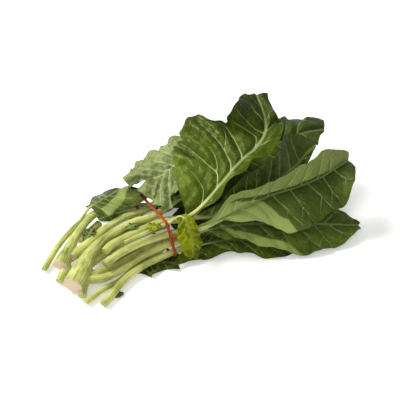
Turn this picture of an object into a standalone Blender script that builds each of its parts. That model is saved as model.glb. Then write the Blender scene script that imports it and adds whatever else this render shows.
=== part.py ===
"""A tied bunch of mustard greens, lying on a table.

+X runs along the bunch from the cut ends to the leaf tips, +Y to its far side and +Z up. The origin is on
the table, under the rib of the undermost leaf. Each leaf is a stalk that runs on as the midrib, with a thin
arched blade on both sides of it. The leaves are laid one after another, each on top of those before it.
"""

import math

import bpy
import numpy as np

MM = 0.001
SHARP_ANGLE = math.radians(50)
UP = np.array([0.0, 0.0, 1.0])

# Driving dimensions, in millimetres.
BLADE_THICKNESS = 0.8
BLADE_ABOVE_TABLE = 0.45
LEAF_GAP = 2.6
TIE_X = -50.0
TIE_WIDTH = 4.0
TIE_THICKNESS = 1.0
TIE_CLEARANCE = 1.1
TIE_SIDES = 36

# The twisted end of the tie: the side of the band it leaves from, and its stations from there as
# (x, y, z, radius).
TWIST_SIDE = 15
TWIST_STATIONS = [(0, 0.6, 0.0, 1.3), (1.5, -2.8, -1.0, 1.5), (5.0, -5.0, -4.0, 1.5), (9.0, -6.0, -9.0, 1.2)]

# How finely a leaf is faceted. RIB_REACH is the share of the blade's length that the rib's tube reaches, and
# RIB_SINK the share of its radius by which the rib lies under the blade's middle.
STALK_SIDES = 8
STALK_STEP = 18.0
STALK_FLATNESS = 0.86
RIB_RINGS = 8
RIB_REACH = 0.84
RIB_END_RADIUS = 0.9
RIB_SINK = 0.45
RIB_SINK_START = 0.15
RIB_TAPER = 0.45
STATION_TAPER = 0.94
LINE_STEP = 0.004
WAVE_SHIFT = 0.15
SAMPLE_STEPS = 6

# The height map of the pile that each leaf is laid on, in square cells.
MAP_CELL = 3.0
MAP_CORNER = np.array([-240.0, -165.0])
MAP_SHAPE = (165, 105)
MAP_REACH = 4
EMPTY = -1.0e6
STALK_BLEND = 26.0

# The materials: (colour, roughness).
LOOKS = {
    "stalk": ((0.50, 0.58, 0.20, 1.0), 0.45),
    "leaf": ((0.075, 0.15, 0.03, 1.0), 0.50),
    "yellow_leaf": ((0.36, 0.45, 0.06, 1.0), 0.50),
    "tie": ((0.55, 0.10, 0.05, 1.0), 0.60),
}

# Each leaf, in the order in which its blade lies, the undermost first.
# node: the object it belongs to. ground: its stalk is laid before the tie and before the other stalks.
# under: the nodes whose stalks lie on its blade, which it isn't raised to clear.
# stalk: (x, y, z, radius) from the cut end to the blade. rib: (x, y, z) from there to the tip.
# left, right: (width, rise, bend, sweep) of each half of the blade at equal steps of the rib. Rise is the
# angle at which the half leaves the rib, bend what is added to it by the margin, sweep its lean to the tip.
# ruffle: (height, number, phase) of the margin's waves. grid: (rows, columns of a half) of facets.
LEAVES = [
    dict(
        node="undermost_leaf",
        ground=True,
        stalk=[
            (-176, -66, 5.0, 3.6),
            (-149, -56.5, 5.0, 3.3),
            (-127, -51.5, 3.8, 3.0),
            (-105, -42.5, 3.6, 3.0),
            (-83, -36, 4.2, 3.0),
            (-52, -29, 7.8, 3.0),
        ],
        rib=[(-24, -12, 3.6), (0, 0, 1.5), (36, 10, 1.2), (74, 13, 1.2), (110, 8, 1.4)],
        left=[(3, 0, 0, -10), (26, 0, 0, -10), (34, 0, 0, 0), (36, 0, 0, 10), (26, 0, 0, 30), (4, 0, 0, 50)],
        right=[(3, 0, 0, -10), (24, 0, 0, -10), (30, 0, 0, 0), (34, 0, 0, 10), (26, 0, 0, 30), (4, 0, 0, 50)],
        ruffle=(0.8, 3, 0.0),
        grid=(9, 2),
    ),
    dict(
        node="undermost_leaf",
        ground=True,
        under=("undermost_leaf",),
        stalk=[(-114, -46, 3.0, 1.8), (-106, -45, 2.2, 1.8)],
        rib=[(-99, -48, 1.6), (-79, -44, 1.5), (-62, -48, 1.4), (-51, -59, 1.4)],
        left=[(3, 0, 0, 0), (12, 4, 0, 4), (19, 0, 0, -7), (17, 0, 0, -9)],
        right=[(3, 0, 0, 0), (23, 4, 0, -31), (13, 0, 0, -5), (11, 0, 0, 27)],
        ruffle=(1.5, 2, 0.5),
        grid=(6, 2),
    ),
    dict(
        node="far_low_leaf",
        ground=True,
        stalk=[(-147, 20, 5.5, 4.0), (-112, 26, 6.5, 4.0), (-80, 30, 8.0, 3.9), (-50, 27, 9.2, 3.8)],
        rib=[(-16, 36, 5), (22, 46, 2.5), (60, 52, 1.6), (98, 56, 1.4), (136, 56, 2.0)],
        left=[(3, 0, 0, -10), (24, 0, 0, -5), (34, 6, 6, 0), (34, 6, 6, 10), (24, 4, 6, 30), (4, 0, 0, 50)],
        right=[(3, 0, 0, -10), (22, 0, 0, -10), (30, 0, 0, 0), (32, 0, 0, 10), (24, 0, 0, 30), (4, 0, 0, 50)],
        ruffle=(1.8, 3, 0.7),
        grid=(10, 3),
    ),
    dict(
        node="near_low_leaf",
        ground=True,
        stalk=[
            (-160, -79, 5.2, 4.6),
            (-145, -70.5, 5.8, 4.6),
            (-130, -61, 7.2, 4.5),
            (-110, -52, 8.2, 4.3),
            (-91, -47.5, 9.0, 4.2),
            (-52, -44, 9.2, 4.1),
        ],
        rib=[(-33, -47, 10.5), (-6, -54, 12), (24, -64, 12), (52, -78, 9), (76, -90, 4), (94, -98, 2)],
        left=[
            (3, 10, 0, -10),
            (17, 14, -10, 0),
            (20, 10, -10, 0),
            (22, 6, -10, 10),
            (18, 4, 0, 30),
            (3, 0, 0, 50),
        ],
        right=[
            (34, -5, -20, -52),
            (24, -10, -30, -34),
            (18, -5, -30, -5),
            (19, -5, -30, 0),
            (26, -5, -20, 5),
            (20, 0, -10, 20),
            (3, 0, 0, 50),
        ],
        ruffle=(1.8, 5, 0.3),
        grid=(15, 3),
    ),
    dict(
        node="front_stem",
        under=("near_leaf", "small_yellow_leaf"),
        stalk=[
            (-160, -38, 11, 6.0),
            (-145, -45, 11, 5.6),
            (-127, -44.5, 11.5, 5.2),
            (-105, -40.5, 12.8, 5.0),
            (-83, -36, 14, 4.8),
            (-52, -36, 17, 4.6),
        ],
        rib=[
            (-18, -40, 19),
            (12, -47, 23),
            (46, -62, 26),
            (82, -80, 25),
            (118, -94, 20),
            (148, -106, 15),
            (174, -117, 11),
        ],
        left=[
            (3, 10, 0, -10),
            (14, 10, 0, 0),
            (26, 12, 0, 0),
            (34, 12, 0, 5),
            (34, 12, 0, 15),
            (26, 12, 0, 25),
            (4, 10, 0, 50),
        ],
        right=[
            (3, 0, 0, -10),
            (14, 20, -60, 0),
            (24, 12, -50, -5),
            (32, 5, -60, -5),
            (42, -5, -45, -5),
            (38, -8, -30, 5),
            (24, -5, -20, 20),
            (4, 0, 0, 50),
        ],
        ruffle=(2.6, 5, 0.1),
        grid=(16, 4),
    ),
    dict(
        node="far_leaf",
        stalk=[
            (-196, 10, 5.0, 3.7),
            (-158, 42, 10, 3.7),
            (-116, 61, 17, 3.6),
            (-84, 60.5, 19.5, 3.5),
            (-52, 53, 20, 3.4),
        ],
        rib=[(-20, 60, 24), (14, 70, 26), (50, 78, 24), (86, 82, 18), (118, 84, 12)],
        left=[
            (3, 0, 0, -10),
            (20, -10, -10, 0),
            (26, -15, -20, 0),
            (26, -15, -20, 10),
            (20, -10, -10, 30),
            (4, 0, 0, 50),
        ],
        right=[
            (3, 0, 0, -10),
            (20, 10, 0, 0),
            (26, 10, 0, 0),
            (26, 10, 0, 10),
            (20, 5, 0, 30),
            (4, 0, 0, 50),
        ],
        ruffle=(2.4, 4, 0.9),
        grid=(12, 3),
    ),
    dict(
        node="far_leaf",
        stalk=[(-130, 57, 15, 2.0), (-122, 57, 18, 2.0)],
        rib=[(-112, 56, 22), (-90, 60, 27), (-64, 69, 31)],
        left=[(7, 0, -10, -45), (13, 0, -20, -25), (26, 0, -20, 8), (19, 0, -10, 3), (4, 0, 0, 0)],
        right=[(15, 0, -10, 6), (31, 5, -20, 0), (32, 5, -20, 6), (43, 5, 0, 3), (38, 0, 0, 11)],
        ruffle=(1.6, 2, 0.2),
        grid=(8, 2),
    ),
    dict(
        node="back_stem",
        stalk=[
            (-160, 5, 14, 5.6),
            (-121, 19, 20, 5.0),
            (-100, 24, 24, 4.8),
            (-78, 26, 27, 4.7),
            (-50, 23, 30, 4.6),
        ],
        rib=[(-16, 32, 36), (22, 44, 42), (60, 54, 46), (100, 60, 48), (140, 58, 44)],
        left=[
            (3, 0, 0, -10),
            (28, 5, -10, -5),
            (38, 5, -20, 0),
            (40, 0, -20, 10),
            (28, 0, -10, 30),
            (4, 0, 0, 50),
        ],
        right=[(3, 0, 0, -10), (26, 8, 0, -5), (34, 8, 0, 0), (36, 8, 0, 10), (26, 5, 0, 30), (4, 0, 0, 50)],
        ruffle=(2.6, 4, 0.4),
        grid=(11, 3),
    ),
    dict(
        node="front_stem",
        stalk=[
            (-181, -42, 12.4, 13.0),
            (-171, -34, 14, 12.6),
            (-158, -22, 17, 10.8),
            (-146, -13, 21, 8.8),
            (-132, -7, 25, 7.4),
            (-117, -2, 28, 6.4),
            (-96, 2, 32, 5.3),
            (-77, 2, 35.5, 4.9),
            (-50, -1, 37, 4.7),
        ],
        rib=[
            (-18, 6, 43),
            (22, 12, 52),
            (62, 14, 60),
            (100, 12, 68),
            (136, 8, 76),
            (170, 5, 80),
            (202, 2, 77),
        ],
        left=[
            (3, 0, 0, -10),
            (24, 5, 0, 0),
            (34, 8, 0, 0),
            (36, 12, 0, 0),
            (36, 24, -10, 22),
            (41, 30, -70, 16),
            (21, 0, 0, 27),
        ],
        right=[
            (3, 0, 0, -10),
            (20, -5, -10, 0),
            (34, -8, -20, 0),
            (42, -10, -25, 3),
            (44, -8, -25, 8),
            (32, -5, -20, 0),
            (16, 0, 0, -29),
        ],
        ruffle=(2.8, 5, 0.6),
        grid=(14, 3),
    ),
    dict(
        node="back_stem",
        stalk=[
            (-179, -1, 11.0, 10.4),
            (-170, 7, 13, 9.6),
            (-158, 18, 16, 7.4),
            (-145, 31, 18.5, 5.6),
            (-121, 47, 23, 5.0),
            (-100, 51.5, 28, 4.8),
            (-76, 48, 32, 4.7),
            (-50, 43, 36, 4.6),
        ],
        rib=[(-24, 45, 49), (-8, 49, 55), (12, 51, 60), (34, 52, 63), (56, 52, 65)],
        left=[
            (38, 8, -30, -80),
            (57, 8, -34, -60),
            (59, 6, -34, -34),
            (62, 4, -34, -15),
            (55, 4, -24, -4),
            (24, 0, 0, 19),
        ],
        right=[
            (37, 8, -10, -80),
            (61, 8, -14, -57),
            (80, 9, -14, -38),
            (66, 10, -14, -40),
            (32, 8, -10, 10),
            (6, 0, 0, 50),
        ],
        ruffle=(2.4, 5, 0.2),
        grid=(14, 4),
    ),
    dict(
        node="front_stem",
        under=("top_leaf", "near_leaf", "small_yellow_leaf"),
        stalk=[
            (-158, -24, 16, 6.6),
            (-146, -8, 17, 5.8),
            (-132, 3, 19, 5.2),
            (-112, 8, 22, 4.9),
            (-80, 10, 25.5, 4.7),
            (-50, 1, 26, 4.6),
        ],
        rib=[(-14, -22, 33), (16, -42, 42), (52, -46, 52), (94, -43, 61), (134, -36, 69), (168, -24, 76)],
        left=[
            (3, 50, 0, 0),
            (10, 78, 0, 0),
            (27, 82, 0, 0),
            (34, 78, 0, 0),
            (33, 80, 0, 0),
            (42, 52, 0, 5),
            (5, 30, 0, 40),
        ],
        right=[
            (3, -40, 0, 0),
            (4, -60, 0, 0),
            (5, -60, 0, 0),
            (6, -60, 0, 0),
            (9, -60, 0, 0),
            (10, -60, 0, 0),
            (3, -20, 0, 0),
        ],
        ruffle=(1.4, 4, 0.5),
        grid=(15, 3),
    ),
    dict(
        node="top_leaf",
        stalk=[
            (-130, -24, 30, 5.0),
            (-119, -18.5, 31.5, 4.9),
            (-106, -16.5, 32.5, 4.8),
            (-90, -16, 34.5, 4.7),
            (-50, -16, 37, 4.6),
        ],
        rib=[
            (-25, -32, 44),
            (8, -35, 63),
            (38, -32, 80),
            (70, -21, 94),
            (100, -8, 103),
            (113, 12, 118),
            (120, 42, 134),
        ],
        left=[
            (4, 24, 0, 0),
            (63, 17, -20, -4),
            (75, 16, -22, -5),
            (92, 16, -22, -3),
            (103, 17, -26, 3),
            (102, 18, -28, 9),
            (103, 18, -26, 11),
            (76, 20, -20, 1.9),
            (53, 22, -10, 3),
            (55, 24, 0, 17),
            (45, 22, 0, 24),
            (27, 10, 0, 48),
            (6, 0, 0, 26),
        ],
        right=[
            (4, -10, 0, 0),
            (7, -40, 0, 0),
            (8, -45, 0, 0),
            (9, -45, 0, 0),
            (10, -45, 0, 0),
            (12, -42, 0, 0),
            (14, -38, 0, 0),
            (20, -30, 0, 5),
            (24, -26, 0, 10),
            (24, -14, 0, 20),
            (16, 0, 0, -0.2),
            (13, 0, 0, -5),
            (13, 0, 0, 0.3),
        ],
        ruffle=(3.0, 5, 0.0),
        grid=(20, 6),
    ),
    dict(
        node="near_leaf",
        stalk=[
            (-137, -37, 22.5, 5.2),
            (-119, -31.5, 24.8, 5.1),
            (-98, -29, 26.5, 4.9),
            (-78, -29, 28, 4.8),
            (-50, -32.5, 29.5, 4.7),
        ],
        rib=[
            (-18, -49, 36),
            (12, -57, 47),
            (48, -59, 54),
            (82, -59, 56),
            (118, -62, 57),
            (154, -62, 59),
            (180, -59, 63),
            (198, -57, 65),
        ],
        left=[
            (3, 70, 0, 0),
            (13, 80, 0, -77),
            (29, 84, 0, -58),
            (20, 86, 0, -24),
            (26, 84, 0, -50),
            (31, 78, 0, -57),
            (34, 70, 0, -15),
            (24, 60, 0, 9),
            (10, 30, 0, 30),
        ],
        right=[
            (3, -20, 0, -10),
            (4, -20, -40, 6),
            (17, -14, -45, -18),
            (36, -12, -40, -19),
            (59, -10, -42, -9),
            (53, -8, -42, -16),
            (53, -6, -34, -27),
            (47, 0, -10, -22),
            (16, 0, 0, -13),
        ],
        ruffle=(2.4, 5, 0.2),
        grid=(20, 5),
    ),
    dict(
        node="small_yellow_leaf",
        stalk=[(-106, -28, 37, 2.4), (-84, -27, 38.5, 2.4), (-62, -26, 39.5, 2.4), (-46, -26.5, 41, 2.4)],
        rib=[(-35, -34, 49), (-33, -45, 50), (-34, -55, 42), (-34, -62, 30), (-35, -66, 18), (-36, -68, 11)],
        left=[(3, 0, -10, 0), (9, 0, -20, 10), (14, 0, -30, 10), (12, 0, -30, 10), (4, 0, 0, 30)],
        right=[(3, 0, -10, 0), (12, 0, -20, 0), (15, 0, -30, 0), (13, 0, -30, 0), (4, 0, 0, 30)],
        ruffle=(1.4, 3, 0.4),
        grid=(10, 2),
    ),
]

# Short cut shoots at the crowns: (node, stations of (x, y, z, radius)).
STUBS = [
    ("front_stem", [(-165, -38, 9, 5.6), (-176, -56, 5.5, 4.6)]),
    ("back_stem", [(-170, 0, 8, 6.0), (-189, -19, 5.5, 4.8)]),
    ("back_stem", [(-142, 26, 15, 4.4), (-124, 36, 14.0, 5.0), (-106, 45, 14.5, 5.0)]),
    (
        "back_stem",
        [
            (-165, 6, 10, 5.5),
            (-130, 14, 11, 4.6),
            (-95, 16, 14, 4.5),
            (-62, 16, 18, 4.4),
            (-38, 18, 20, 4.4),
        ],
    ),
    (
        "front_stem",
        [
            (-154, -20, 13, 5.4),
            (-118, -12, 18, 4.7),
            (-88, -8, 21, 4.6),
            (-62, -10, 24, 4.5),
            (-38, -12, 25, 4.4),
        ],
    ),
    (
        "front_stem",
        [
            (-158, -34, 11, 5.4),
            (-120, -32, 12, 4.7),
            (-88, -26, 14, 4.6),
            (-62, -24, 17, 4.5),
            (-38, -26, 19, 4.4),
        ],
    ),
]


def unit(vectors):
    return vectors / np.linalg.norm(vectors, axis=-1, keepdims=True)


def smooth(rows, t):
    """Reads rows of numbers at t from 0 to 1, on a smooth curve through the rows at equal steps."""
    rows = np.asarray(rows, float)
    last = len(rows) - 1
    padded = np.vstack([2 * rows[0] - rows[1], rows, 2 * rows[-1] - rows[-2]])
    at = np.clip(np.asarray(t, float), 0, 1) * last
    index = np.minimum(at.astype(int), last - 1)
    f = (at - index)[:, None]
    a, b, c, d = (padded[index + k] for k in range(4))
    return b + 0.5 * f * (c - a + f * (2 * a - 5 * b + 4 * c - d + f * (3 * b - a - 3 * c + d)))


def frames(stations, t):
    """Points on the line at t, its direction, the level direction to its left, and the normal above it."""
    points = smooth(stations, t)
    before = smooth(stations, np.maximum(t - LINE_STEP, 0))
    after = smooth(stations, np.minimum(t + LINE_STEP, 1))
    ahead = unit(after - before)
    left = unit(np.cross(UP, ahead))
    return points, ahead, left, np.cross(ahead, left)


def leaf_line(leaf):
    """All stations of a leaf's centre line, and the share of it at which the blade begins."""
    line = [row[:3] for row in leaf["stalk"]] + list(leaf["rib"])
    return np.array(line, float), len(leaf["stalk"]) / (len(line) - 1)


def half_blade(leaf, side, t, s):
    """Half of a blade as rows along the rib at t and columns at s, from 0 at the rib to 1 at the margin."""
    line, start = leaf_line(leaf)
    at, ahead, left, normal = (rows[:, None, :] for rows in frames(line, start + t * (1 - start)))
    shape = smooth(leaf["left" if side > 0 else "right"], t)
    width = shape[:, 0, None, None]
    rise, bend, sweep = (np.radians(shape[:, k, None, None]) for k in (1, 2, 3))
    bend = np.where(np.abs(bend) < 1e-3, 1e-3, bend)
    turned = rise + bend * s[None, :, None]
    level = (np.sin(turned) - np.sin(rise)) / bend
    raised = (np.cos(rise) - np.cos(turned)) / bend
    height, number, phase = leaf["ruffle"]
    turns = number * t + phase * side + WAVE_SHIFT * side
    wave = np.sin(2 * math.pi * turns)[:, None] * s[None, :] ** 2 * height
    outward = np.cos(sweep) * left * side + np.sin(sweep) * ahead
    return at + width * (level * outward + raised * normal) + wave[:, :, None] * normal


def blade_grid(leaf):
    """The whole blade, from the margin of its left half over the rib to the margin of its right half."""
    rows, columns = leaf["grid"]
    t = np.linspace(0, 1, rows + 1)
    s = np.linspace(0, 1, columns + 1)
    left = half_blade(leaf, 1, t, s)
    right = half_blade(leaf, -1, t, s)
    return np.concatenate([left[:, ::-1], right[:, 1:]], axis=1)


def facets(grid):
    """Corner numbers of the triangles of a grid of points, all facing up."""
    rows, columns = grid.shape[:2]
    number = np.arange(rows * columns).reshape(rows, columns)
    a, b, c, d = number[:-1, :-1], number[:-1, 1:], number[1:, 1:], number[1:, :-1]
    lower = np.stack([a, b, c], axis=-1).reshape(-1, 3)
    upper = np.stack([a, c, d], axis=-1).reshape(-1, 3)
    return np.concatenate([lower, upper])


def spread(points, triangles, steps=SAMPLE_STEPS):
    """Points spread evenly over triangles."""
    pairs = [(i / steps, j / steps) for i in range(steps + 1) for j in range(steps + 1 - i)]
    weights = np.array([(1 - u - v, u, v) for u, v in pairs])
    return np.einsum("wk,tkx->twx", weights, points[triangles]).reshape(-1, 3)


def cells(points):
    index = np.floor((points[:, :2] - MAP_CORNER) / MAP_CELL).astype(int)
    return tuple(np.clip(index, 0, np.array(MAP_SHAPE) - 1).T)


def top_map(points):
    """The height of the highest point in each cell, spread to the cells beside it."""
    heights = np.full(MAP_SHAPE, EMPTY)
    np.maximum.at(heights, cells(points), points[:, 2])
    return widest(heights, 1)


def widest(values, reach):
    """The largest value within reach of each cell, along both axes."""
    for axis in (0, 1):
        values = np.max([np.roll(values, k, axis) for k in range(-reach, reach + 1)], axis=0)
    return values


def averaged(values, reach):
    for axis in (0, 1):
        values = np.mean([np.roll(values, k, axis) for k in range(-reach, reach + 1)], axis=0)
    return values


def lift_map(points, heights, gap):
    """How far a sheet with these points has to rise in each cell to clear the heights by the gap."""
    lowest = np.full(MAP_SHAPE, -EMPTY)
    np.minimum.at(lowest, cells(points), points[:, 2])
    need = np.maximum(heights + gap - lowest, 0)
    return averaged(widest(need, MAP_REACH), MAP_REACH)


def read_map(values, points):
    """The map's value at each point, blended between the centres of the cells."""
    at = (points[..., :2] - MAP_CORNER) / MAP_CELL - 0.5
    low = np.clip(np.floor(at).astype(int), 0, np.array(MAP_SHAPE) - 2)
    f = np.clip(at - low, 0, 1)
    i, j = low[..., 0], low[..., 1]
    u, v = f[..., 0], f[..., 1]
    near = values[i, j] * (1 - u) + values[i + 1, j] * u
    far = values[i, j + 1] * (1 - u) + values[i + 1, j + 1] * u
    return near * (1 - v) + far * v


def tube_rings(line, radii, t, sink):
    """Rings of points round a line, as wide as the radii and a little flatter, none below the table."""
    points, ahead, left, normal = frames(line, t)
    angle = (np.arange(STALK_SIDES) + 0.5) * 2 * math.pi / STALK_SIDES
    centre = points - normal * sink[:, None]
    across = np.cos(angle)[None, :, None] * left[:, None, :]
    above = np.sin(angle)[None, :, None] * normal[:, None, :] * STALK_FLATNESS
    rings = centre[:, None, :] + radii[:, None, None] * (across + above)
    rings[..., 2] = np.maximum(rings[..., 2], 0)
    return rings


def leaf_tube(leaf):
    """The rings of a leaf's stalk and rib, the radii, and how far each ring is along the line."""
    line, start = leaf_line(leaf)
    stalk = np.array(leaf["stalk"], float)
    length = np.linalg.norm(np.diff(line[: len(stalk) + 1], axis=0), axis=1).sum()
    count = max(2, round(length / STALK_STEP))
    stalk_t = np.linspace(0, start, count + 1)
    rib_t = start + (1 - start) * RIB_REACH * np.linspace(0, 1, RIB_RINGS + 1)[1:]
    stations = np.append(stalk[:, 3], stalk[-1, 3] * STATION_TAPER)
    stalk_radii = np.interp(stalk_t, np.linspace(0, start, len(stations)), stations)
    thinning = np.linspace(0, 1, RIB_RINGS + 1)[1:] ** RIB_TAPER
    rib_radii = stations[-1] + (RIB_END_RADIUS - stations[-1]) * thinning
    t = np.concatenate([stalk_t, rib_t])
    radii = np.concatenate([stalk_radii, rib_radii])
    sink = radii * RIB_SINK * np.clip((t - start) / (RIB_SINK_START * (1 - start)), 0, 1)
    return tube_rings(line, radii, t, sink), t, start


def stub_rings(stations):
    """The rings of a short tube through stations of (x, y, z, radius)."""
    t = np.linspace(0, 1, 2 * len(stations) - 1)
    radii = np.interp(t, np.linspace(0, 1, len(stations)), stations[:, 3])
    return tube_rings(stations[:, :3], radii, t, np.zeros(len(t)))


def tube_faces(rings):
    """The faces of a closed tube: its sides and its two ends."""
    count, sides = rings.shape[:2]
    number = np.arange(count * sides).reshape(count, sides)
    faces = []
    for i in range(count - 1):
        for j in range(sides):
            k = (j + 1) % sides
            faces.append((number[i, j], number[i + 1, j], number[i + 1, k], number[i, k]))
    faces.append(tuple(number[0]))
    faces.append(tuple(number[-1][::-1]))
    return faces


def tube_samples(rings):
    number = np.arange(rings.shape[0] * rings.shape[1]).reshape(rings.shape[:2])
    closed = np.concatenate([number, number[:, :1]], axis=1)
    grid = rings.reshape(-1, 3)[closed]
    return spread(grid.reshape(-1, 3), facets(grid))


def raise_by(points, lift):
    raised = points.copy()
    raised[..., 2] += lift
    return raised


def sheet_mesh(grid):
    """Points and faces of a thin sheet with the grid as its middle."""
    points = grid.reshape(-1, 3)
    triangles = facets(grid)
    corners = points[triangles]
    normals = np.zeros_like(points)
    flat = np.cross(corners[:, 1] - corners[:, 0], corners[:, 2] - corners[:, 0])
    for k in range(3):
        np.add.at(normals, triangles[:, k], flat)
    normals = unit(normals)
    if normals[:, 2].mean() < 0:
        triangles = triangles[:, ::-1]
        normals = -normals
    count = len(points)
    top = points + normals * BLADE_THICKNESS / 2
    bottom = points - normals * BLADE_THICKNESS / 2
    edges = np.concatenate([triangles[:, [0, 1]], triangles[:, [1, 2]], triangles[:, [2, 0]]])
    keys = set(map(tuple, edges.tolist()))
    rim = [(a, b) for a, b in keys if (b, a) not in keys]
    faces = [tuple(face) for face in triangles.tolist()]
    faces += [tuple(i + count for i in face[::-1]) for face in triangles.tolist()]
    for a, b in rim:
        faces += [(b, a, a + count), (b, a + count, b + count)]
    return np.concatenate([top, bottom]), faces


def material_of(look):
    material = bpy.data.materials.get(look)
    if material is None:
        colour, roughness = LOOKS[look]
        material = bpy.data.materials.new(look)
        material.use_nodes = True
        surface = material.node_tree.nodes["Principled BSDF"]
        surface.inputs["Base Color"].default_value = colour
        surface.inputs["Roughness"].default_value = roughness
    return material


def add_object(name, points, faces, look):
    """A smooth-shaded mesh object from points in millimetres."""
    mesh = bpy.data.meshes.new(name)
    mesh.from_pydata((points.reshape(-1, 3) * MM).tolist(), [], faces)
    mesh.shade_smooth()
    mesh.set_sharp_from_angle(angle=SHARP_ANGLE)
    mesh.materials.append(material_of(look))
    obj = bpy.data.objects.new(name, mesh)
    bpy.context.scene.collection.objects.link(obj)
    return obj


def make_helper(obj):
    obj.hide_render = True
    obj.display_type = "WIRE"
    return obj


def fuse(base, others):
    """Joins the other shapes to the base, which becomes one solid."""
    group = bpy.data.collections.new(base.name + "_pieces")
    bpy.context.scene.collection.children.link(group)
    for other in others:
        bpy.context.scene.collection.objects.unlink(other)
        group.objects.link(make_helper(other))
    union = base.modifiers.new("Union", "BOOLEAN")
    union.operation = "UNION"
    union.operand_type = "COLLECTION"
    union.solver = "EXACT"
    union.collection = group


def lay_stalk(leaf, blades):
    """Raises a leaf's stations where its stalk would pass through a blade under it."""
    rings, t, start = leaf_tube(leaf)
    samples = tube_samples(rings[t <= start + 1e-6])
    lift = lift_map(samples, blades, LEAF_GAP)
    leaf["stalk"] = [(x, y, z + read_map(lift, np.array([x, y])), r) for x, y, z, r in leaf["stalk"]]


def lay_blade(leaf, heights):
    """The rings and the blade of a leaf, raised to lie on the heights under it."""
    grid = blade_grid(leaf)
    grid[..., 2] = np.maximum(grid[..., 2], BLADE_ABOVE_TABLE)
    rings, t, start = leaf_tube(leaf)
    rib = tube_samples(rings[t >= start])
    points = np.concatenate([spread(grid.reshape(-1, 3), facets(grid)), rib])
    lift = lift_map(points, heights, LEAF_GAP)
    grid = raise_by(grid, read_map(lift, grid))
    centres = rings.mean(axis=1)
    from_blade = np.linalg.norm(centres - centres[np.argmin(np.abs(t - start))], axis=1)
    share = np.where(t >= start, 1.0, np.clip(1 - from_blade / STALK_BLEND, 0, 1))
    share = share * share * (3 - 2 * share)
    rings = raise_by(rings, (read_map(lift, centres) * share)[:, None])
    return rings, grid


def tie_loops(circles):
    """The inner and outer loop of a band drawn tight round the circles (y, z, radius) of the stalks."""
    angles = np.arange(TIE_SIDES) * 2 * math.pi / TIE_SIDES
    loops = []
    for margin in (TIE_CLEARANCE, TIE_CLEARANCE + TIE_THICKNESS):
        loop = []
        for angle in angles:
            way = np.array([math.cos(angle), math.sin(angle)])
            far = max(circles, key=lambda c: c[0] * way[0] + c[1] * way[1] + c[2])
            loop.append(np.array(far[:2]) + way * (far[2] + margin))
        loops.append(np.array(loop))
    return loops


def tie_mesh(circles):
    inner, outer = tie_loops(circles)
    rings = []
    for loop, x in ((inner, -0.5), (outer, -0.5), (outer, 0.5), (inner, 0.5)):
        rings.append(np.column_stack([np.full(TIE_SIDES, TIE_X + x * TIE_WIDTH), loop]))
    points = np.concatenate(rings)
    faces = []
    for k in range(4):
        for j in range(TIE_SIDES):
            a, b = k * TIE_SIDES + j, k * TIE_SIDES + (j + 1) % TIE_SIDES
            c, d = (k + 1) % 4 * TIE_SIDES + (j + 1) % TIE_SIDES, (k + 1) % 4 * TIE_SIDES + j
            faces.append((a, b, c, d))
    return points, faces


def stalk_circle(leaf):
    """Where a stalk passes the tie: (y, z, radius), or nothing for a shoot that ends before it."""
    rings, t, start = leaf_tube(leaf)
    centres = rings.mean(axis=1)
    if centres[0, 0] > TIE_X or centres[-1, 0] < TIE_X:
        return None
    after = np.argmax(centres[:, 0] > TIE_X)
    f = (TIE_X - centres[after - 1, 0]) / (centres[after, 0] - centres[after - 1, 0])
    y, z = centres[after - 1, 1:] * (1 - f) + centres[after, 1:] * f
    radius = np.linalg.norm(rings[after] - centres[after], axis=1).max()
    return y, z, radius


def build():
    blades = np.full(MAP_SHAPE, EMPTY)
    stalks = [np.full(MAP_SHAPE, EMPTY) for _ in LEAVES]
    shapes = [None] * len(LEAVES)
    tie = np.full(MAP_SHAPE, EMPTY)

    def lay(index):
        leaf = LEAVES[index]
        above = leaf.get("under", ())
        clear = [k for k, other in enumerate(LEAVES) if k != index and other["node"] not in above]
        rings, grid = lay_blade(leaf, np.max([blades, tie] + [stalks[k] for k in clear], axis=0))
        shapes[index] = (rings, grid)
        stalks[index] = top_map(tube_samples(rings))
        return np.maximum(blades, top_map(spread(grid.reshape(-1, 3), facets(grid))))

    for index, leaf in enumerate(LEAVES):
        if leaf.get("ground"):
            lay_stalk(leaf, blades)
            blades = lay(index)
    for index, leaf in enumerate(LEAVES):
        if not leaf.get("ground"):
            lay_stalk(leaf, blades)
            rings, t, start = leaf_tube(leaf)
            stalks[index] = top_map(tube_samples(rings[t <= start + 1e-6]))
    circles = [circle for circle in map(stalk_circle, LEAVES) if circle]
    tie_points, tie_faces = tie_mesh(circles)
    tie_grid = tie_points.reshape(4, TIE_SIDES, 3)[1:3]
    tie = top_map(spread(tie_grid.reshape(-1, 3), facets(tie_grid)))
    for index, leaf in enumerate(LEAVES):
        if not leaf.get("ground"):
            blades = lay(index)

    pieces = {}
    for leaf, (rings, grid) in zip(LEAVES, shapes):
        blade_look = "yellow_leaf" if leaf["node"] == "small_yellow_leaf" else "leaf"
        tube = add_object(leaf["node"] + "_tube", rings, tube_faces(rings), "stalk")
        blade = add_object(leaf["node"] + "_blade", *sheet_mesh(grid), blade_look)
        pieces.setdefault(leaf["node"], []).extend([tube, blade])
    for node, stations in STUBS:
        rings = stub_rings(np.array(stations, float))
        pieces[node].append(add_object(node + "_stub", rings, tube_faces(rings), "stalk"))
    for node, made in pieces.items():
        made[0].name = node
        fuse(made[0], made[1:])
    tie_object = add_object("twist_tie", tie_points, tie_faces, "tie")
    twist = np.array(TWIST_STATIONS, float)
    twist[:, :3] += tie_points.reshape(4, TIE_SIDES, 3)[1:3, TWIST_SIDE].mean(axis=0)
    twist_rings = stub_rings(twist)
    fuse(tie_object, [add_object("twist", twist_rings, tube_faces(twist_rings), "tie")])


for old in list(bpy.data.objects):
    bpy.data.objects.remove(old)
build()
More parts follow.
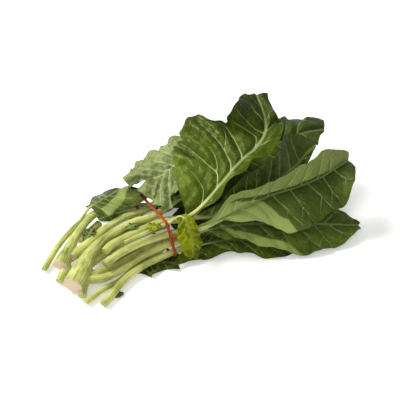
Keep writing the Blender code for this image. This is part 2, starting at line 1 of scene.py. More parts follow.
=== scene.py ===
"""The looks of a tied bunch of mustard greens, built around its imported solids.

+X runs from the cut ends to the leaf tips, +Y to the far side and +Z up from the table. The bunch is
put together as it lies: the leaves on the table first, then the other stalks, the tie round them all,
and the leaves over it, each on top of those before it. Sizes are in millimetres; meshes are in metres.
"""

import math

import bpy
import numpy as np
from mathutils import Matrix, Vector, noise


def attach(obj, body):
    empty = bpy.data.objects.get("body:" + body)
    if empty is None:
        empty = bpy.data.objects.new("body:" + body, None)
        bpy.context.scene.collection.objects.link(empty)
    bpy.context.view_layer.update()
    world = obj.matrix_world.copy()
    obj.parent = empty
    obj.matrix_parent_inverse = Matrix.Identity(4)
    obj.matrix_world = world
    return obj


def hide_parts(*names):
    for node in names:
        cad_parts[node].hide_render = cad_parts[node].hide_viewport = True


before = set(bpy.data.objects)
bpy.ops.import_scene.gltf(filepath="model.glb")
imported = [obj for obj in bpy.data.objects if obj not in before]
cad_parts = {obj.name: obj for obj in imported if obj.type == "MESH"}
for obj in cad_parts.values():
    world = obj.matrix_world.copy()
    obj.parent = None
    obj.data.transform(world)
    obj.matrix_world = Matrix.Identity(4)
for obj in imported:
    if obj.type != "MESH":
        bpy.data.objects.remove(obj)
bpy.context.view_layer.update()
bpy.ops.object.select_all(action="DESELECT")
MM = 0.001


# The table and the studio
# A plain white table in soft light: a wide lamp behind the bunch on the left, a weak one in front and a
# pale room. The camera looks down on the cut ends, with the origin at a pixel of its own in the picture.
TABLE_SIDE = 14.0
TABLE_DROP = 0.3
TABLE_WHITE = (0.93, 0.925, 0.915, 1.0)
TABLE_GLOW = 0.27
TABLE_ROUGHNESS = 0.9
ROOM_WHITE = (1.0, 1.0, 1.0, 1.0)
ROOM_STRENGTH = 0.50
LAMPS = [
    ("key_lamp", (-0.75, 1.15, 1.55), 0.8, 46.0, (1.0, 0.985, 0.95)),
    ("front_lamp", (-1.3, -1.5, 1.5), 1.4, 14.0, (0.97, 0.985, 1.0)),
]
CAMERA_TURN = math.radians(-30)
CAMERA_RISE = math.radians(38)
CAMERA_DISTANCE = 1.2
CAMERA_LENS = 85.0
CAMERA_SENSOR = 36.0
PICTURE_SIDE = 400
ORIGIN_SHOWS_AT = (191, 225)

scene = bpy.context.scene
scene.view_settings.view_transform = "Standard"
scene.view_settings.look = "None"

bpy.ops.mesh.primitive_plane_add(size=TABLE_SIDE, location=(0, 0, -TABLE_DROP * MM))
table = bpy.context.object
table.name = "table_top"
bpy.ops.object.transform_apply(location=True, rotation=False, scale=False)
white = bpy.data.materials.new("white_table")
white.use_nodes = True
white_surface = white.node_tree.nodes["Principled BSDF"]
white_surface.inputs["Base Color"].default_value = TABLE_WHITE
white_surface.inputs["Roughness"].default_value = TABLE_ROUGHNESS
white_surface.inputs["Emission Color"].default_value = TABLE_WHITE
white_surface.inputs["Emission Strength"].default_value = TABLE_GLOW
table.data.materials.append(white)

room = bpy.data.worlds.new("pale_room")
room.use_nodes = True
room.node_tree.nodes["Background"].inputs["Color"].default_value = ROOM_WHITE
room.node_tree.nodes["Background"].inputs["Strength"].default_value = ROOM_STRENGTH
scene.world = room

for lamp_name, place, side, power, colour in LAMPS:
    turn = Vector(place).to_track_quat("Z", "Y").to_euler()
    bpy.ops.object.light_add(type="AREA", location=place, rotation=turn)
    lamp = bpy.context.object
    lamp.name = lamp_name
    lamp.data.size = side
    lamp.data.energy = power
    lamp.data.color = colour

back = Vector(
    (
        math.sin(CAMERA_TURN) * math.cos(CAMERA_RISE),
        -math.cos(CAMERA_TURN) * math.cos(CAMERA_RISE),
        math.sin(CAMERA_RISE),
    )
)
across_view = (-back).cross(Vector((0, 0, 1))).normalized()
up_view = across_view.cross(-back)
half_view = CAMERA_SENSOR / 2 / CAMERA_LENS * CAMERA_DISTANCE
half_picture = PICTURE_SIDE / 2
aim = across_view * (half_picture - ORIGIN_SHOWS_AT[0]) / half_picture * half_view
aim -= up_view * (half_picture - ORIGIN_SHOWS_AT[1]) / half_picture * half_view
camera_turn = (-back).to_track_quat("-Z", "Y").to_euler()
bpy.ops.object.camera_add(location=aim + back * CAMERA_DISTANCE, rotation=camera_turn)
camera = bpy.context.object
camera.name = "camera"
camera.data.lens = CAMERA_LENS
camera.data.sensor_width = CAMERA_SENSOR
scene.camera = camera


# The low leaves
# Four limp leaves lie on the table under the bunch: thin green blades on a pale fleshy rib that runs on
# as their own stalk. Nothing fixes them but the weight above and the tie. Each follows its line from the
# cut end to the tip.
UP = np.array([0.0, 0.0, 1.0])
BLADE_ABOVE_TABLE = 0.45
BLADE_THICKNESS = 0.6
LEAF_GAP = 2.6
STALK_BLEND = 26.0
STALK_FLATNESS = 0.86
STALK_STEP = 18.0
RIB_RINGS = 8
RIB_REACH = 0.84
RIB_END_RADIUS = 0.9
RIB_SINK = 0.45
RIB_TAPER = 0.45
COARSE_SIDES = 8
MAP_CELL = 3.0
MAP_CORNER = np.array([-240.0, -165.0])
MAP_SHAPE = (165, 105)
MAP_REACH = 4
EMPTY = -1.0e6
SHARP_ANGLE = math.radians(50)
LINE_STEP = 0.004
WAVE_SHIFT = 0.15
LEAST_BEND = 1e-3
SAMPLE_STEPS = 6
STATION_TAPER = 0.94
RIB_SINK_START = 0.15
NEARLY = 1e-6
TINY = 1e-9

# How fine the looks are: a rib's steps and sides, the puckers of a blade, and its waves over the leaf.
FINE_STEP = 2.5
FINE_SIDES = 20
RIB_THINNING = 0.5
PUCKER = 1.5
PUCKER_WIDTH = 8.0
CRUMPLE = 0.8
CRUMPLE_SIZE = 11.0
BILLOW = 1.3
BILLOW_SIZE = 34.0
BILLOW_SEED = 1
NOISE_SHIFT = (7.31, 3.17, 5.77)
TURNED_EDGE = 0.05
TURNED_RISE = 1.1
BILLOW_START = 20
FLAT_BESIDE_RIB = 5
SLOPE_STEP = 0.006
LINE_SAMPLES = 400
THINNED_BY = 0.4
RIB_COLOUR_BY = 0.25
SEAM = 1e-7

# A stalk's grooves, as a share of its radius.
GROOVE_COUNT = 7
GROOVE_DEPTH = 0.035
GROOVE_TURN = 1.3
RIDGE_COUNT = 11
RIDGE_DEPTH = 0.02

# The side veins: how far they reach, how they bend forward, and their twigs as (begin, way, reach).
VEIN_REACH = 0.94
VEIN_STEPS = 16
VEIN_CURVE = 1.25
VEIN_VARIETY = 0.25
VEIN_DRIFT = 3.1
VEIN_SHIFT = 0.35
VEIN_TAPER = 0.65
VEIN_MASK = 4
VEIN_SINK = 0.35
VEIN_SINK_WIDTH = 2.2
MAIN_VEIN = 0.75
TWIG_VEIN = 0.4
TWIG_LIMIT = 0.5
TWIG_STEPS = 8
TWIG_TURN = 0.9
TWIG_LEAN = 0.7
TWIGS = ((0.28, 1, 0.5), (0.5, -1, 0.36), (0.62, 1, 0.3))
FAR_OFF = 99.0

# The margin: depths as a share of the half blade's width, sizes along it in millimetres.
TOOTH_DEPTH = 0.022
TOOTH_LEVEL = 0.55
TOOTH_SWING = 0.45
TOOTH_SIZE = 1.9
TOOTH_STRAY = 2.0
TOOTH_DRIFT = 11.0
LOBE_DEPTH = 0.03
LOBE_SIZE = 5.3
LOBE_STRAY = 1.7
LOBE_DRIFT = 17.0
NOTCH_CURVE = 1.3

low_leaves = {
    "undermost_leaf": dict(
        stalk=[
            (-176, -66, 5.0, 3.6), (-149, -56.5, 5.0, 3.3), (-127, -51.5, 3.8, 3.0),
            (-105, -42.5, 3.6, 3.0), (-83, -36, 4.2, 3.0), (-52, -29, 7.8, 3.0),
        ],
        rib=[(-24, -12, 3.6), (0, 0, 1.5), (36, 10, 1.2), (74, 13, 1.2), (110, 8, 1.4)],
        left=[
            (3, 0, 0, -10), (26, 0, 0, -10), (34, 0, 0, 0), (36, 0, 0, 10), (26, 0, 0, 30),
            (4, 0, 0, 50),
        ],
        right=[
            (3, 0, 0, -10), (24, 0, 0, -10), (30, 0, 0, 0), (34, 0, 0, 10), (26, 0, 0, 30),
            (4, 0, 0, 50),
        ],
        ruffle=(0.8, 3, 0.0),
        coarse=(9, 2),
        fine=(110, 50),
        veins=(7, 0.06, 0.8, 0.10),
        relief=0.4,
    ),
    "undermost_side_leaf": dict(
        stalk=[(-114, -46, 3.0, 1.8), (-106, -45, 2.2, 1.8)],
        rib=[(-99, -48, 1.6), (-79, -44, 1.5), (-62, -48, 1.4), (-51, -59, 1.4)],
        left=[(3, 0, 0, 0), (12, 4, 0, 4), (19, 0, 0, -7), (17, 0, 0, -9)],
        right=[(3, 0, 0, 0), (23, 4, 0, -31), (13, 0, 0, -5), (11, 0, 0, 27)],
        ruffle=(1.5, 2, 0.5),
        coarse=(6, 2),
        fine=(50, 36),
        veins=(4, 0.1, 0.7, 0.15),
        relief=0.4,
    ),
    "far_low_leaf": dict(
        stalk=[(-147, 20, 5.5, 4.0), (-112, 26, 6.5, 4.0), (-80, 30, 8.0, 3.9), (-50, 27, 9.2, 3.8)],
        rib=[(-16, 36, 5), (22, 46, 2.5), (60, 52, 1.6), (98, 56, 1.4), (136, 56, 2.0)],
        left=[
            (3, 0, 0, -10), (24, 0, 0, -5), (34, 6, 6, 0), (34, 6, 6, 10), (24, 4, 6, 30),
            (4, 0, 0, 50),
        ],
        right=[
            (3, 0, 0, -10), (22, 0, 0, -10), (30, 0, 0, 0), (32, 0, 0, 10), (24, 0, 0, 30),
            (4, 0, 0, 50),
        ],
        ruffle=(1.8, 3, 0.7),
        coarse=(10, 3),
        fine=(120, 56),
        veins=(7, 0.06, 0.8, 0.10),
        relief=0.6,
    ),
    "near_low_leaf": dict(
        stalk=[
            (-160, -79, 5.2, 4.6), (-145, -70.5, 5.8, 4.6), (-130, -61, 7.2, 4.5),
            (-110, -52, 8.2, 4.3), (-91, -47.5, 9.0, 4.2), (-52, -44, 9.2, 4.1),
        ],
        rib=[(-33, -47, 10.5), (-6, -54, 12), (24, -64, 12), (52, -78, 9), (76, -90, 4), (94, -98, 2)],
        left=[
            (3, 10, 0, -10), (17, 14, -10, 0), (20, 10, -10, 0), (22, 6, -10, 10), (18, 4, 0, 30),
            (3, 0, 0, 50),
        ],
        right=[
            (34, -5, -20, -52), (24, -10, -30, -34), (18, -5, -30, -5), (19, -5, -30, 0),
            (26, -5, -20, 5), (20, 0, -10, 20), (3, 0, 0, 50),
        ],
        ruffle=(1.8, 5, 0.3),
        coarse=(15, 3),
        fine=(140, 50),
        veins=(7, 0.1, 0.82, 0.12),
        relief=0.8,
    ),
}


def unit(vectors):
    return vectors / np.linalg.norm(vectors, axis=-1, keepdims=True)


def eased(values, low=0.0, high=1.0):
    """0 below low, 1 above high, and a soft step between them."""
    share = np.clip((values - low) / (high - low), 0, 1)
    return share * share * (3 - 2 * share)


def smooth(rows, t):
    """Reads rows of numbers at t from 0 to 1, on a smooth curve through the rows at equal steps."""
    rows = np.asarray(rows, float)
    last = len(rows) - 1
    padded = np.vstack([2 * rows[0] - rows[1], rows, 2 * rows[-1] - rows[-2]])
    at = np.clip(np.asarray(t, float), 0, 1) * last
    index = np.minimum(at.astype(int), last - 1)
    f = (at - index)[:, None]
    a, b, c, d = (padded[index + k] for k in range(4))
    return b + 0.5 * f * (c - a + f * (2 * a - 5 * b + 4 * c - d + f * (3 * b - a - 3 * c + d)))


def frames(stations, t):
    """Points on the line at t, its direction, the level direction to its left, and the normal above."""
    points = smooth(stations, t)
    after = smooth(stations, np.minimum(t + LINE_STEP, 1))
    before = smooth(stations, np.maximum(t - LINE_STEP, 0))
    ahead = unit(after - before)
    left = unit(np.cross(UP, ahead))
    return points, ahead, left, np.cross(ahead, left)


def leaf_line(leaf):
    """All stations of a leaf's centre line, and the share of it at which the blade begins."""
    line = [row[:3] for row in leaf["stalk"]] + list(leaf["rib"])
    return np.array(line, float), len(leaf["stalk"]) / (len(line) - 1)


def blade_points(leaf, t, s):
    """Points of a blade at t along the rib and s across it, 1 at the left margin and -1 at the right."""
    line, start = leaf_line(leaf)
    at, ahead, left, normal = frames(line, start + t * (1 - start))
    side = np.where(s >= 0, 1.0, -1.0)[:, None]
    out = np.abs(s)[:, None]
    shape = np.where(side > 0, smooth(leaf["left"], t), smooth(leaf["right"], t))
    width = shape[:, :1]
    rise, bend, sweep = (np.radians(shape[:, k : k + 1]) for k in (1, 2, 3))
    bend = np.where(np.abs(bend) < LEAST_BEND, LEAST_BEND, bend)
    turned = rise + bend * out
    level = (np.sin(turned) - np.sin(rise)) / bend
    raised = (np.cos(rise) - np.cos(turned)) / bend
    height, number, phase = leaf["ruffle"]
    turns = number * t[:, None] + phase * side + WAVE_SHIFT * side
    wave = np.sin(2 * math.pi * turns) * out**2 * height
    outward = np.cos(sweep) * left * side + np.sin(sweep) * ahead
    return at + width * (level * outward + raised * normal) + wave * normal


def coarse_grid(leaf):
    """The blade with as few facets as its solid has."""
    rows, columns = leaf["coarse"]
    t, s = np.meshgrid(np.linspace(0, 1, rows + 1), np.linspace(1, -1, 2 * columns + 1), indexing="ij")
    return blade_points(leaf, t.ravel(), s.ravel()).reshape(rows + 1, 2 * columns + 1, 3)


def facets(grid):
    """Corner numbers of the triangles of a grid of points."""
    rows, columns = grid.shape[:2]
    number = np.arange(rows * columns).reshape(rows, columns)
    a, b, c, d = number[:-1, :-1], number[:-1, 1:], number[1:, 1:], number[1:, :-1]
    lower = np.stack([a, b, c], axis=-1).reshape(-1, 3)
    upper = np.stack([a, c, d], axis=-1).reshape(-1, 3)
    return np.concatenate([lower, upper])


def spread(grid):
    """Points spread evenly over the triangles of a grid."""
    steps = range(SAMPLE_STEPS + 1)
    pairs = [(i / SAMPLE_STEPS, j / SAMPLE_STEPS) for i in steps for j in steps if i + j <= SAMPLE_STEPS]
    weights = np.array([(1 - u - v, u, v) for u, v in pairs])
    return np.einsum("wk,tkx->twx", weights, grid.reshape(-1, 3)[facets(grid)]).reshape(-1, 3)


def top_map(points):
    """The height of the highest point in each cell of the map, spread to the cells beside it."""
    heights = np.full(MAP_SHAPE, EMPTY)
    np.maximum.at(heights, cells(points), points[:, 2])
    return widest(heights, 1)


def cells(points):
    index = np.floor((points[:, :2] - MAP_CORNER) / MAP_CELL).astype(int)
    return tuple(np.clip(index, 0, np.array(MAP_SHAPE) - 1).T)


def widest(values, reach):
    for axis in (0, 1):
        values = np.max([np.roll(values, k, axis) for k in range(-reach, reach + 1)], axis=0)
    return values


def averaged(values, reach):
    for axis in (0, 1):
        values = np.mean([np.roll(values, k, axis) for k in range(-reach, reach + 1)], axis=0)
    return values


def lift_map(points, heights):
    """How far a sheet with these points has to rise in each cell to clear the heights."""
    lowest = np.full(MAP_SHAPE, -EMPTY)
    np.minimum.at(lowest, cells(points), points[:, 2])
    need = np.maximum(heights + LEAF_GAP - lowest, 0)
    return averaged(widest(need, MAP_REACH), MAP_REACH)


def read_map(values, points):
    """The map's value at each point, blended between the centres of the cells."""
    at = (points[..., :2] - MAP_CORNER) / MAP_CELL - 0.5
    low = np.clip(np.floor(at).astype(int), 0, np.array(MAP_SHAPE) - 2)
    f = np.clip(at - low, 0, 1)
    i, j = low[..., 0], low[..., 1]
    u, v = f[..., 0], f[..., 1]
    near = values[i, j] * (1 - u) + values[i + 1, j] * u
    far = values[i, j + 1] * (1 - u) + values[i + 1, j + 1] * u
    return near * (1 - v) + far * v


def ring_points(line, radii, t, sink, angle):
    """Points round a line at t, at an angle from its left side over its top, as wide as the radii."""
    points, ahead, left, normal = frames(line, t)
    round_it = np.cos(angle)[:, None] * left + np.sin(angle)[:, None] * normal * STALK_FLATNESS
    rings = points - normal * sink[:, None] + radii[:, None] * round_it
    rings[:, 2] = np.maximum(rings[:, 2], 0)
    return rings


def tube_radii(leaf, t):
    """The radius of a leaf's stalk and rib at t along its line, and how deep the rib is sunk."""
    line, start = leaf_line(leaf)
    stations = [row[3] for row in leaf["stalk"]] + [leaf["stalk"][-1][3] * STATION_TAPER]
    on_stalk = np.interp(t, np.linspace(0, start, len(stations)), stations)
    share = np.clip((t - start) / ((1 - start) * RIB_REACH), 0, 1)
    on_rib = stations[-1] + (RIB_END_RADIUS - stations[-1]) * share**RIB_TAPER
    radii = np.where(t <= start, on_stalk, on_rib)
    sunk_share = np.clip((t - start) / (RIB_SINK_START * (1 - start)), 0, 1)
    return radii, radii * RIB_SINK * sunk_share


def coarse_tube(leaf):
    """Rings of a leaf's stalk and rib with as few sides as its solid has, and their t."""
    line, start = leaf_line(leaf)
    length = np.linalg.norm(np.diff(line[: len(leaf["stalk"]) + 1], axis=0), axis=1).sum()
    count = max(2, round(length / STALK_STEP))
    rib_t = start + (1 - start) * RIB_REACH * np.linspace(0, 1, RIB_RINGS + 1)[1:]
    t = np.concatenate([np.linspace(0, start, count + 1), rib_t])
    angle = (np.arange(COARSE_SIDES) + 0.5) * 2 * math.pi / COARSE_SIDES
    radii, sink = (np.repeat(values, COARSE_SIDES) for values in tube_radii(leaf, t))
    rings = ring_points(line, radii, np.repeat(t, COARSE_SIDES), sink, np.tile(angle, len(t)))
    return rings.reshape(len(t), COARSE_SIDES, 3), t


def tube_samples(rings):
    return spread(np.concatenate([rings, rings[:, :1]], axis=1))


def lay_stalk(leaf, blades):
    """Raises a leaf's stations where its stalk would pass through a blade under it."""
    rings, t = coarse_tube(leaf)
    start = leaf_line(leaf)[1]
    lift = lift_map(tube_samples(rings[t <= start + NEARLY]), blades)
    leaf["stalk"] = [(x, y, z + read_map(lift, np.array([x, y])), r) for x, y, z, r in leaf["stalk"]]
    rings, t = coarse_tube(leaf)
    return top_map(tube_samples(rings[t <= start + NEARLY]))


def lay_blade(leaf, heights):
    """Raises a leaf to lie on the heights. Returns the height maps of its tube and of its blade."""
    grid = coarse_grid(leaf)
    grid[..., 2] = np.maximum(grid[..., 2], BLADE_ABOVE_TABLE)
    rings, t = coarse_tube(leaf)
    start = leaf_line(leaf)[1]
    points = np.concatenate([spread(grid), tube_samples(rings[t >= start])])
    leaf["lift"] = lift_map(points, heights)
    leaf["blade_start"] = rings.mean(axis=1)[np.argmin(np.abs(t - start))]
    grid[..., 2] += read_map(leaf["lift"], grid)
    centres = rings.mean(axis=1)
    rings[..., 2] += (read_map(leaf["lift"], centres) * stalk_share(leaf, t, centres))[:, None]
    return top_map(tube_samples(rings)), top_map(spread(grid))


def stalk_share(leaf, t, centres):
    """How much of the blade's lift its tube takes part in: all on the rib, less along the stalk."""
    from_blade = np.linalg.norm(centres - leaf["blade_start"], axis=1)
    return np.where(t >= leaf_line(leaf)[1], 1.0, eased(1 - from_blade / STALK_BLEND))


def laid_blade(leaf, t, s):
    """Points of the blade where it lies."""
    points = blade_points(leaf, t, s)
    points[:, 2] = np.maximum(points[:, 2], BLADE_ABOVE_TABLE)
    points[:, 2] += read_map(leaf["lift"], points)
    return points


def vein_paths(leaf):
    """The side veins of a leaf and their twigs: the t and s of each, and its half width at the rib."""
    paths = []
    if "traced" in leaf:
        steps = np.linspace(0, 1, VEIN_STEPS)
        for path_t, path_s, half in leaf["traced"]:
            path = smooth(np.column_stack([path_t, path_s]), steps)
            paths.append((path[:, 0], path[:, 1], half))
        return paths
    count, first, last, lean = leaf["veins"]
    for side in (1, -1):
        for k in range(count):
            shift = VEIN_SHIFT if side < 0 else 0.0
            root = first + (last - first) * (k + shift) / count
            out = np.linspace(0, VEIN_REACH, VEIN_STEPS)
            forward = lean * (1 + VEIN_VARIETY * math.sin(VEIN_DRIFT * k + side)) * out**VEIN_CURVE
            paths.append((root + forward, out * side, MAIN_VEIN))
            for begin, way, reach in TWIGS:
                twig = np.linspace(begin, min(begin + reach, VEIN_REACH), TWIG_STEPS)
                base = root + np.interp(twig[:1], out, forward)
                turn = way * lean * TWIG_TURN * (twig - begin) ** TWIG_TURN
                turn = turn + (lean * TWIG_LEAN if way > 0 else 0) * (twig - begin)
                paths.append((base + turn, twig * side, TWIG_VEIN))
    return paths


def vein_distance(leaf, points, s):
    """Each point's distance to the nearest side vein, in half widths of that vein and in millimetres."""
    closest = np.full(len(points), FAR_OFF)
    plain = np.full(len(points), FAR_OFF)
    for path_t, path_s, half in vein_paths(leaf):
        on_side = (s >= 0) == (path_s[-1] > 0)
        nodes = laid_blade(leaf, np.clip(path_t, 0, 1), path_s)
        widths = half * (1 - VEIN_TAPER * np.linspace(0, 1, len(nodes)))
        here = points[on_side]
        for a, b, half_width in zip(nodes[:-1], nodes[1:], widths):
            along = b - a
            share = np.clip((here - a) @ along / max(along @ along, TINY), 0, 1)
            away = np.linalg.norm(here - a - share[:, None] * along, axis=1)
            closest[on_side] = np.minimum(closest[on_side], away / half_width)
            if half > TWIG_LIMIT:
                plain[on_side] = np.minimum(plain[on_side], away)
    return closest, plain


def noise_at(points, size, seed):
    """Smooth noise from about -1 to 1 with features of this size."""
    offset = Vector([seed * shift for shift in NOISE_SHIFT])
    return np.array([noise.noise(Vector(p) / size + offset) for p in points])


def margin_cut(leaf, t, s):
    """How far the margin is drawn in at t: fine teeth and the notches between lobes."""
    side = np.where(s >= 0, 1.0, -1.0)
    along = t * np.linalg.norm(np.diff(np.array(leaf["rib"], float), axis=0), axis=1).sum()
    stray = TOOTH_STRAY * np.sin(along / TOOTH_DRIFT + side)
    teeth = TOOTH_LEVEL + TOOTH_SWING * np.sin(along / TOOTH_SIZE + stray)
    stray = LOBE_STRAY * np.sin(along / LOBE_DRIFT)
    lobes = 0.5 + 0.5 * np.sin(along / LOBE_SIZE + side * 2 + stray)
    cut = TOOTH_DEPTH * teeth + LOBE_DEPTH * lobes
    cut *= leaf.get("fringe", 1.0)
    for notch_side, middle, half, depth in leaf.get("notches", ()):
        bite = depth * np.clip(1 - np.abs(t - middle) / half, 0, 1) ** NOTCH_CURVE
        cut = cut + np.where(side == notch_side, bite, 0)
    return cut


def turned_share(leaf, t, s):
    """How much of each point is painted the pale turned colour: where the leaf is turned over and shows its
    pale side, and on the near leaf partly as painted light.
    """
    share = np.zeros_like(t)
    for zone_t, low, high in leaf.get("turned", ()):
        from_low = s - np.interp(t, zone_t, low)
        to_high = np.interp(t, zone_t, high) - s
        inside = np.where((t >= zone_t[0]) & (t <= zone_t[-1]), np.minimum(from_low, to_high), -1.0)
        share = np.maximum(share, eased(inside, 0.0, TURNED_EDGE))
    return share


def tone_and_painted_light_of(leaf, t, s):
    """How much fresher than the rest the leaf is painted at each point: partly its own tone, partly painted
    light and painted shade.
    """
    if "tones" not in leaf:
        return np.zeros_like(t)
    at_left, at_rib, at_right = smooth(leaf["tones"], t).T
    return np.where(s >= 0, at_rib + (at_left - at_rib) * s, at_rib - (at_right - at_rib) * s)


def fold_share(leaf, t, s):
    """How much of each point lies in the sharp fold that runs in from the margin, and its depth."""
    if "fold" not in leaf:
        return np.zeros_like(t), 0.0
    fold_s, fold_t, half, depth = leaf["fold"]
    away = (t - np.interp(s, fold_s, fold_t)) / half
    return np.exp(-(away**2)) * eased(s, fold_s[0], fold_s[1]), depth


def add_grid(name, rows, columns):
    """A flat grid from -1 to 1 along x and y, and the x and y of each of its points."""
    bpy.ops.mesh.primitive_grid_add(x_subdivisions=rows, y_subdivisions=columns, size=2)
    obj = bpy.context.object
    obj.name = name
    flat = get_points(obj).astype(float)
    return obj, flat[:, 0], flat[:, 1]


def get_points(obj):
    flat = np.empty(len(obj.data.vertices) * 3, np.float32)
    obj.data.vertices.foreach_get("co", flat)
    return flat.reshape(-1, 3)


def set_points(obj, points):
    obj.data.vertices.foreach_set("co", (points * MM).astype(np.float32).ravel())
    obj.data.update()


def set_values(obj, name, values):
    attribute = obj.data.attributes.new(name, "FLOAT", "POINT")
    attribute.data.foreach_set("value", values.astype(np.float32))


def set_vectors(obj, name, vectors):
    attribute = obj.data.attributes.new(name, "FLOAT_VECTOR", "POINT")
    attribute.data.foreach_set("vector", vectors.astype(np.float32).ravel())


def add_blade(name, leaf, upper, under, seed):
    """The blade of a leaf as a thin sheet, with one material above and another below."""
    rows, columns = leaf["fine"]
    obj, u, v = add_grid(name, rows, columns)
    t = (u + 1) / 2
    s = v * (1 - margin_cut(leaf, t, v))
    plain = laid_blade(leaf, t, s)
    after, before = np.minimum(t + SLOPE_STEP, 1), np.maximum(t - SLOPE_STEP, 0)
    lefter, righter = np.minimum(s + SLOPE_STEP, 1), np.maximum(s - SLOPE_STEP, -1)
    ahead = blade_points(leaf, after, s) - blade_points(leaf, before, s)
    beside = blade_points(leaf, t, lefter) - blade_points(leaf, t, righter)
    normal = unit(np.cross(ahead, beside) + TINY)
    closest, away = vein_distance(leaf, plain, s)
    width = np.linalg.norm(plain - laid_blade(leaf, t, np.zeros_like(s)), axis=1)
    away = np.minimum(away, width)
    relief = PUCKER * eased(away / PUCKER_WIDTH)
    relief += CRUMPLE * noise_at(plain, leaf.get("crumple_size", CRUMPLE_SIZE), seed)
    relief = relief - VEIN_SINK * (1 - eased(closest, 0.0, VEIN_SINK_WIDTH))
    relief += BILLOW * noise_at(plain, BILLOW_SIZE, BILLOW_SEED) * eased(width / BILLOW_START)
    turned = turned_share(leaf, t, s)
    sunk, fold_depth = fold_share(leaf, t, s)
    relief = relief * leaf["relief"] + TURNED_RISE * turned - sunk * fold_depth
    relief = relief * eased(width / FLAT_BESIDE_RIB)
    points = plain + normal * relief[:, None]
    points[:, 2] = np.maximum(points[:, 2], BLADE_THICKNESS / 2)
    set_points(obj, points)
    set_values(obj, "vein", np.clip(1 - closest / VEIN_MASK, 0, 1))
    set_values(obj, "from_rib", width)
    set_values(obj, "turned", turned)
    # The fold is also painted darker in the tone: painted shade in its crease.
    set_values(obj, "tone", tone_and_painted_light_of(leaf, t, s) - sunk)
    bpy.ops.object.shade_smooth()
    obj.data.materials.append(upper)
    obj.data.materials.append(under)
    sheet = obj.modifiers.new("Thickness", "SOLIDIFY")
    sheet.thickness = BLADE_THICKNESS * MM
    sheet.offset = 0
    sheet.use_rim = True
    sheet.material_offset = 1
    bpy.ops.object.modifier_apply(modifier=sheet.name)
    return obj


def add_tube(name, line, radii, sink, t, material, lift=None):
    """A stalk or rib as a closed tube round its line at the shares t of it."""
    obj, u, v = add_grid(name, len(t) - 1, FINE_SIDES)
    at = (u + 1) / 2 * (len(t) - 1)
    angle = (v + 1) * math.pi
    index = np.arange(len(t))
    here_t, here_radii, here_sink = (np.interp(at, index, values) for values in (t, radii, sink))
    groove = 1 + GROOVE_DEPTH * np.cos(GROOVE_COUNT * angle + GROOVE_TURN)
    groove = groove + RIDGE_DEPTH * np.cos(RIDGE_COUNT * angle)
    points = ring_points(line, here_radii * groove, here_t, here_sink, angle)
    if lift is not None:
        points[:, 2] += np.interp(at, index, lift)
    set_points(obj, points)
    steps = np.linalg.norm(np.diff(smooth(line, t), axis=0), axis=1)
    length = np.interp(at, index, np.concatenate([[0], np.cumsum(steps)]))
    beside, above = np.cos(angle) * here_radii, np.sin(angle) * here_radii
    set_vectors(obj, "fibres", np.column_stack([beside, above, length]))
    close_seam(SEAM)
    obj.data.materials.append(material)
    return obj


def close_seam(distance, open_ends=True):
    """Joins the edges of the rolled-up sheet in hand, and closes its ends if they are open."""
    bpy.ops.object.mode_set(mode="EDIT")
    bpy.ops.mesh.select_all(action="SELECT")
    bpy.ops.mesh.remove_doubles(threshold=distance)
    if open_ends:
        bpy.ops.mesh.fill_holes(sides=0)
    bpy.ops.mesh.normals_make_consistent(inside=False)
    bpy.ops.object.mode_set(mode="OBJECT")


def add_leaf_tube(name, leaf, material, first_x=None):
    """The stalk and rib of a leaf where it lies, from the cut end or from where it passes first_x."""
    line, start = leaf_line(leaf)
    t = np.linspace(0, start + (1 - start) * RIB_REACH, LINE_SAMPLES)
    if first_x is not None:
        t = np.linspace(t[np.argmax(smooth(line, t)[:, 0] > first_x)], t[-1], LINE_SAMPLES)
    length = np.linalg.norm(np.diff(smooth(line, t), axis=0), axis=1).sum()
    t = np.linspace(t[0], t[-1], max(4, int(length / FINE_STEP)))
    radii, sink = tube_radii(leaf, t)
    centres = smooth(line, t)
    lift = read_map(leaf["lift"], centres) * stalk_share(leaf, t, centres)
    rib_share = (t - start) / (1 - start)
    radii = radii * (1 - RIB_THINNING * eased(rib_share, 0.0, THINNED_BY))
    tube = add_tube(name, line, radii, sink, t, material, lift)
    centres[:, 2] += lift
    away = np.linalg.norm(get_points(tube)[:, None] / MM - centres[None], axis=2)
    set_values(tube, "on_rib", eased(rib_share[np.argmin(away, axis=1)], 0.0, RIB_COLOUR_BY))
    return tube


def joined(name, objects):
    """The objects as one piece, shaded smooth but for its sharp edges."""
    bpy.ops.object.select_all(action="DESELECT")
    for obj in objects:
        obj.select_set(True)
    bpy.context.view_layer.objects.active = objects[0]
    bpy.ops.object.join()
    obj = bpy.context.object
    obj.name = name
    bpy.ops.object.shade_smooth_by_angle(angle=SHARP_ANGLE)
    bpy.ops.object.select_all(action="DESELECT")
    return obj


def finish_piece(obj, slot, *nodes):
    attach(obj, "root")
    if nodes:
        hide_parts(*nodes)


def feed(tree, node, inputs):
    """Gives inputs of a node a number or colour, or joins them to an output of another node."""
    for key, value in inputs.items():
        if isinstance(value, bpy.types.NodeSocket):
            tree.links.new(value, node.inputs[key])
        else:
            node.inputs[key].default_value = value
    return node


def add_node(tree, kind, inputs, **settings):
    node = tree.nodes.new("ShaderNode" + kind)
    for key, value in settings.items():
        setattr(node, key, value)
    return feed(tree, node, inputs)


def attribute_of(tree, name, output="Fac"):
    return add_node(tree, "Attribute", {}, attribute_name=name).outputs[output]


def place_in(tree):
    return add_node(tree, "TexCoord", {}).outputs["Object"]


def noise_of(tree, place, scale, detail):
    return add_node(tree, "TexNoise", {"Vector": place, "Scale": scale, "Detail": detail}).outputs["Fac"]


def bumped(tree, height, strength, depth):
    inputs = {"Height": height, "Strength": strength, "Distance": depth}
    return add_node(tree, "Bump", inputs).outputs["Normal"]


def new_material(name):
    """A fresh material with its nodes and its surface."""
    material = bpy.data.materials.new(name)
    material.use_nodes = True
    return material, material.node_tree, material.node_tree.nodes["Principled BSDF"]


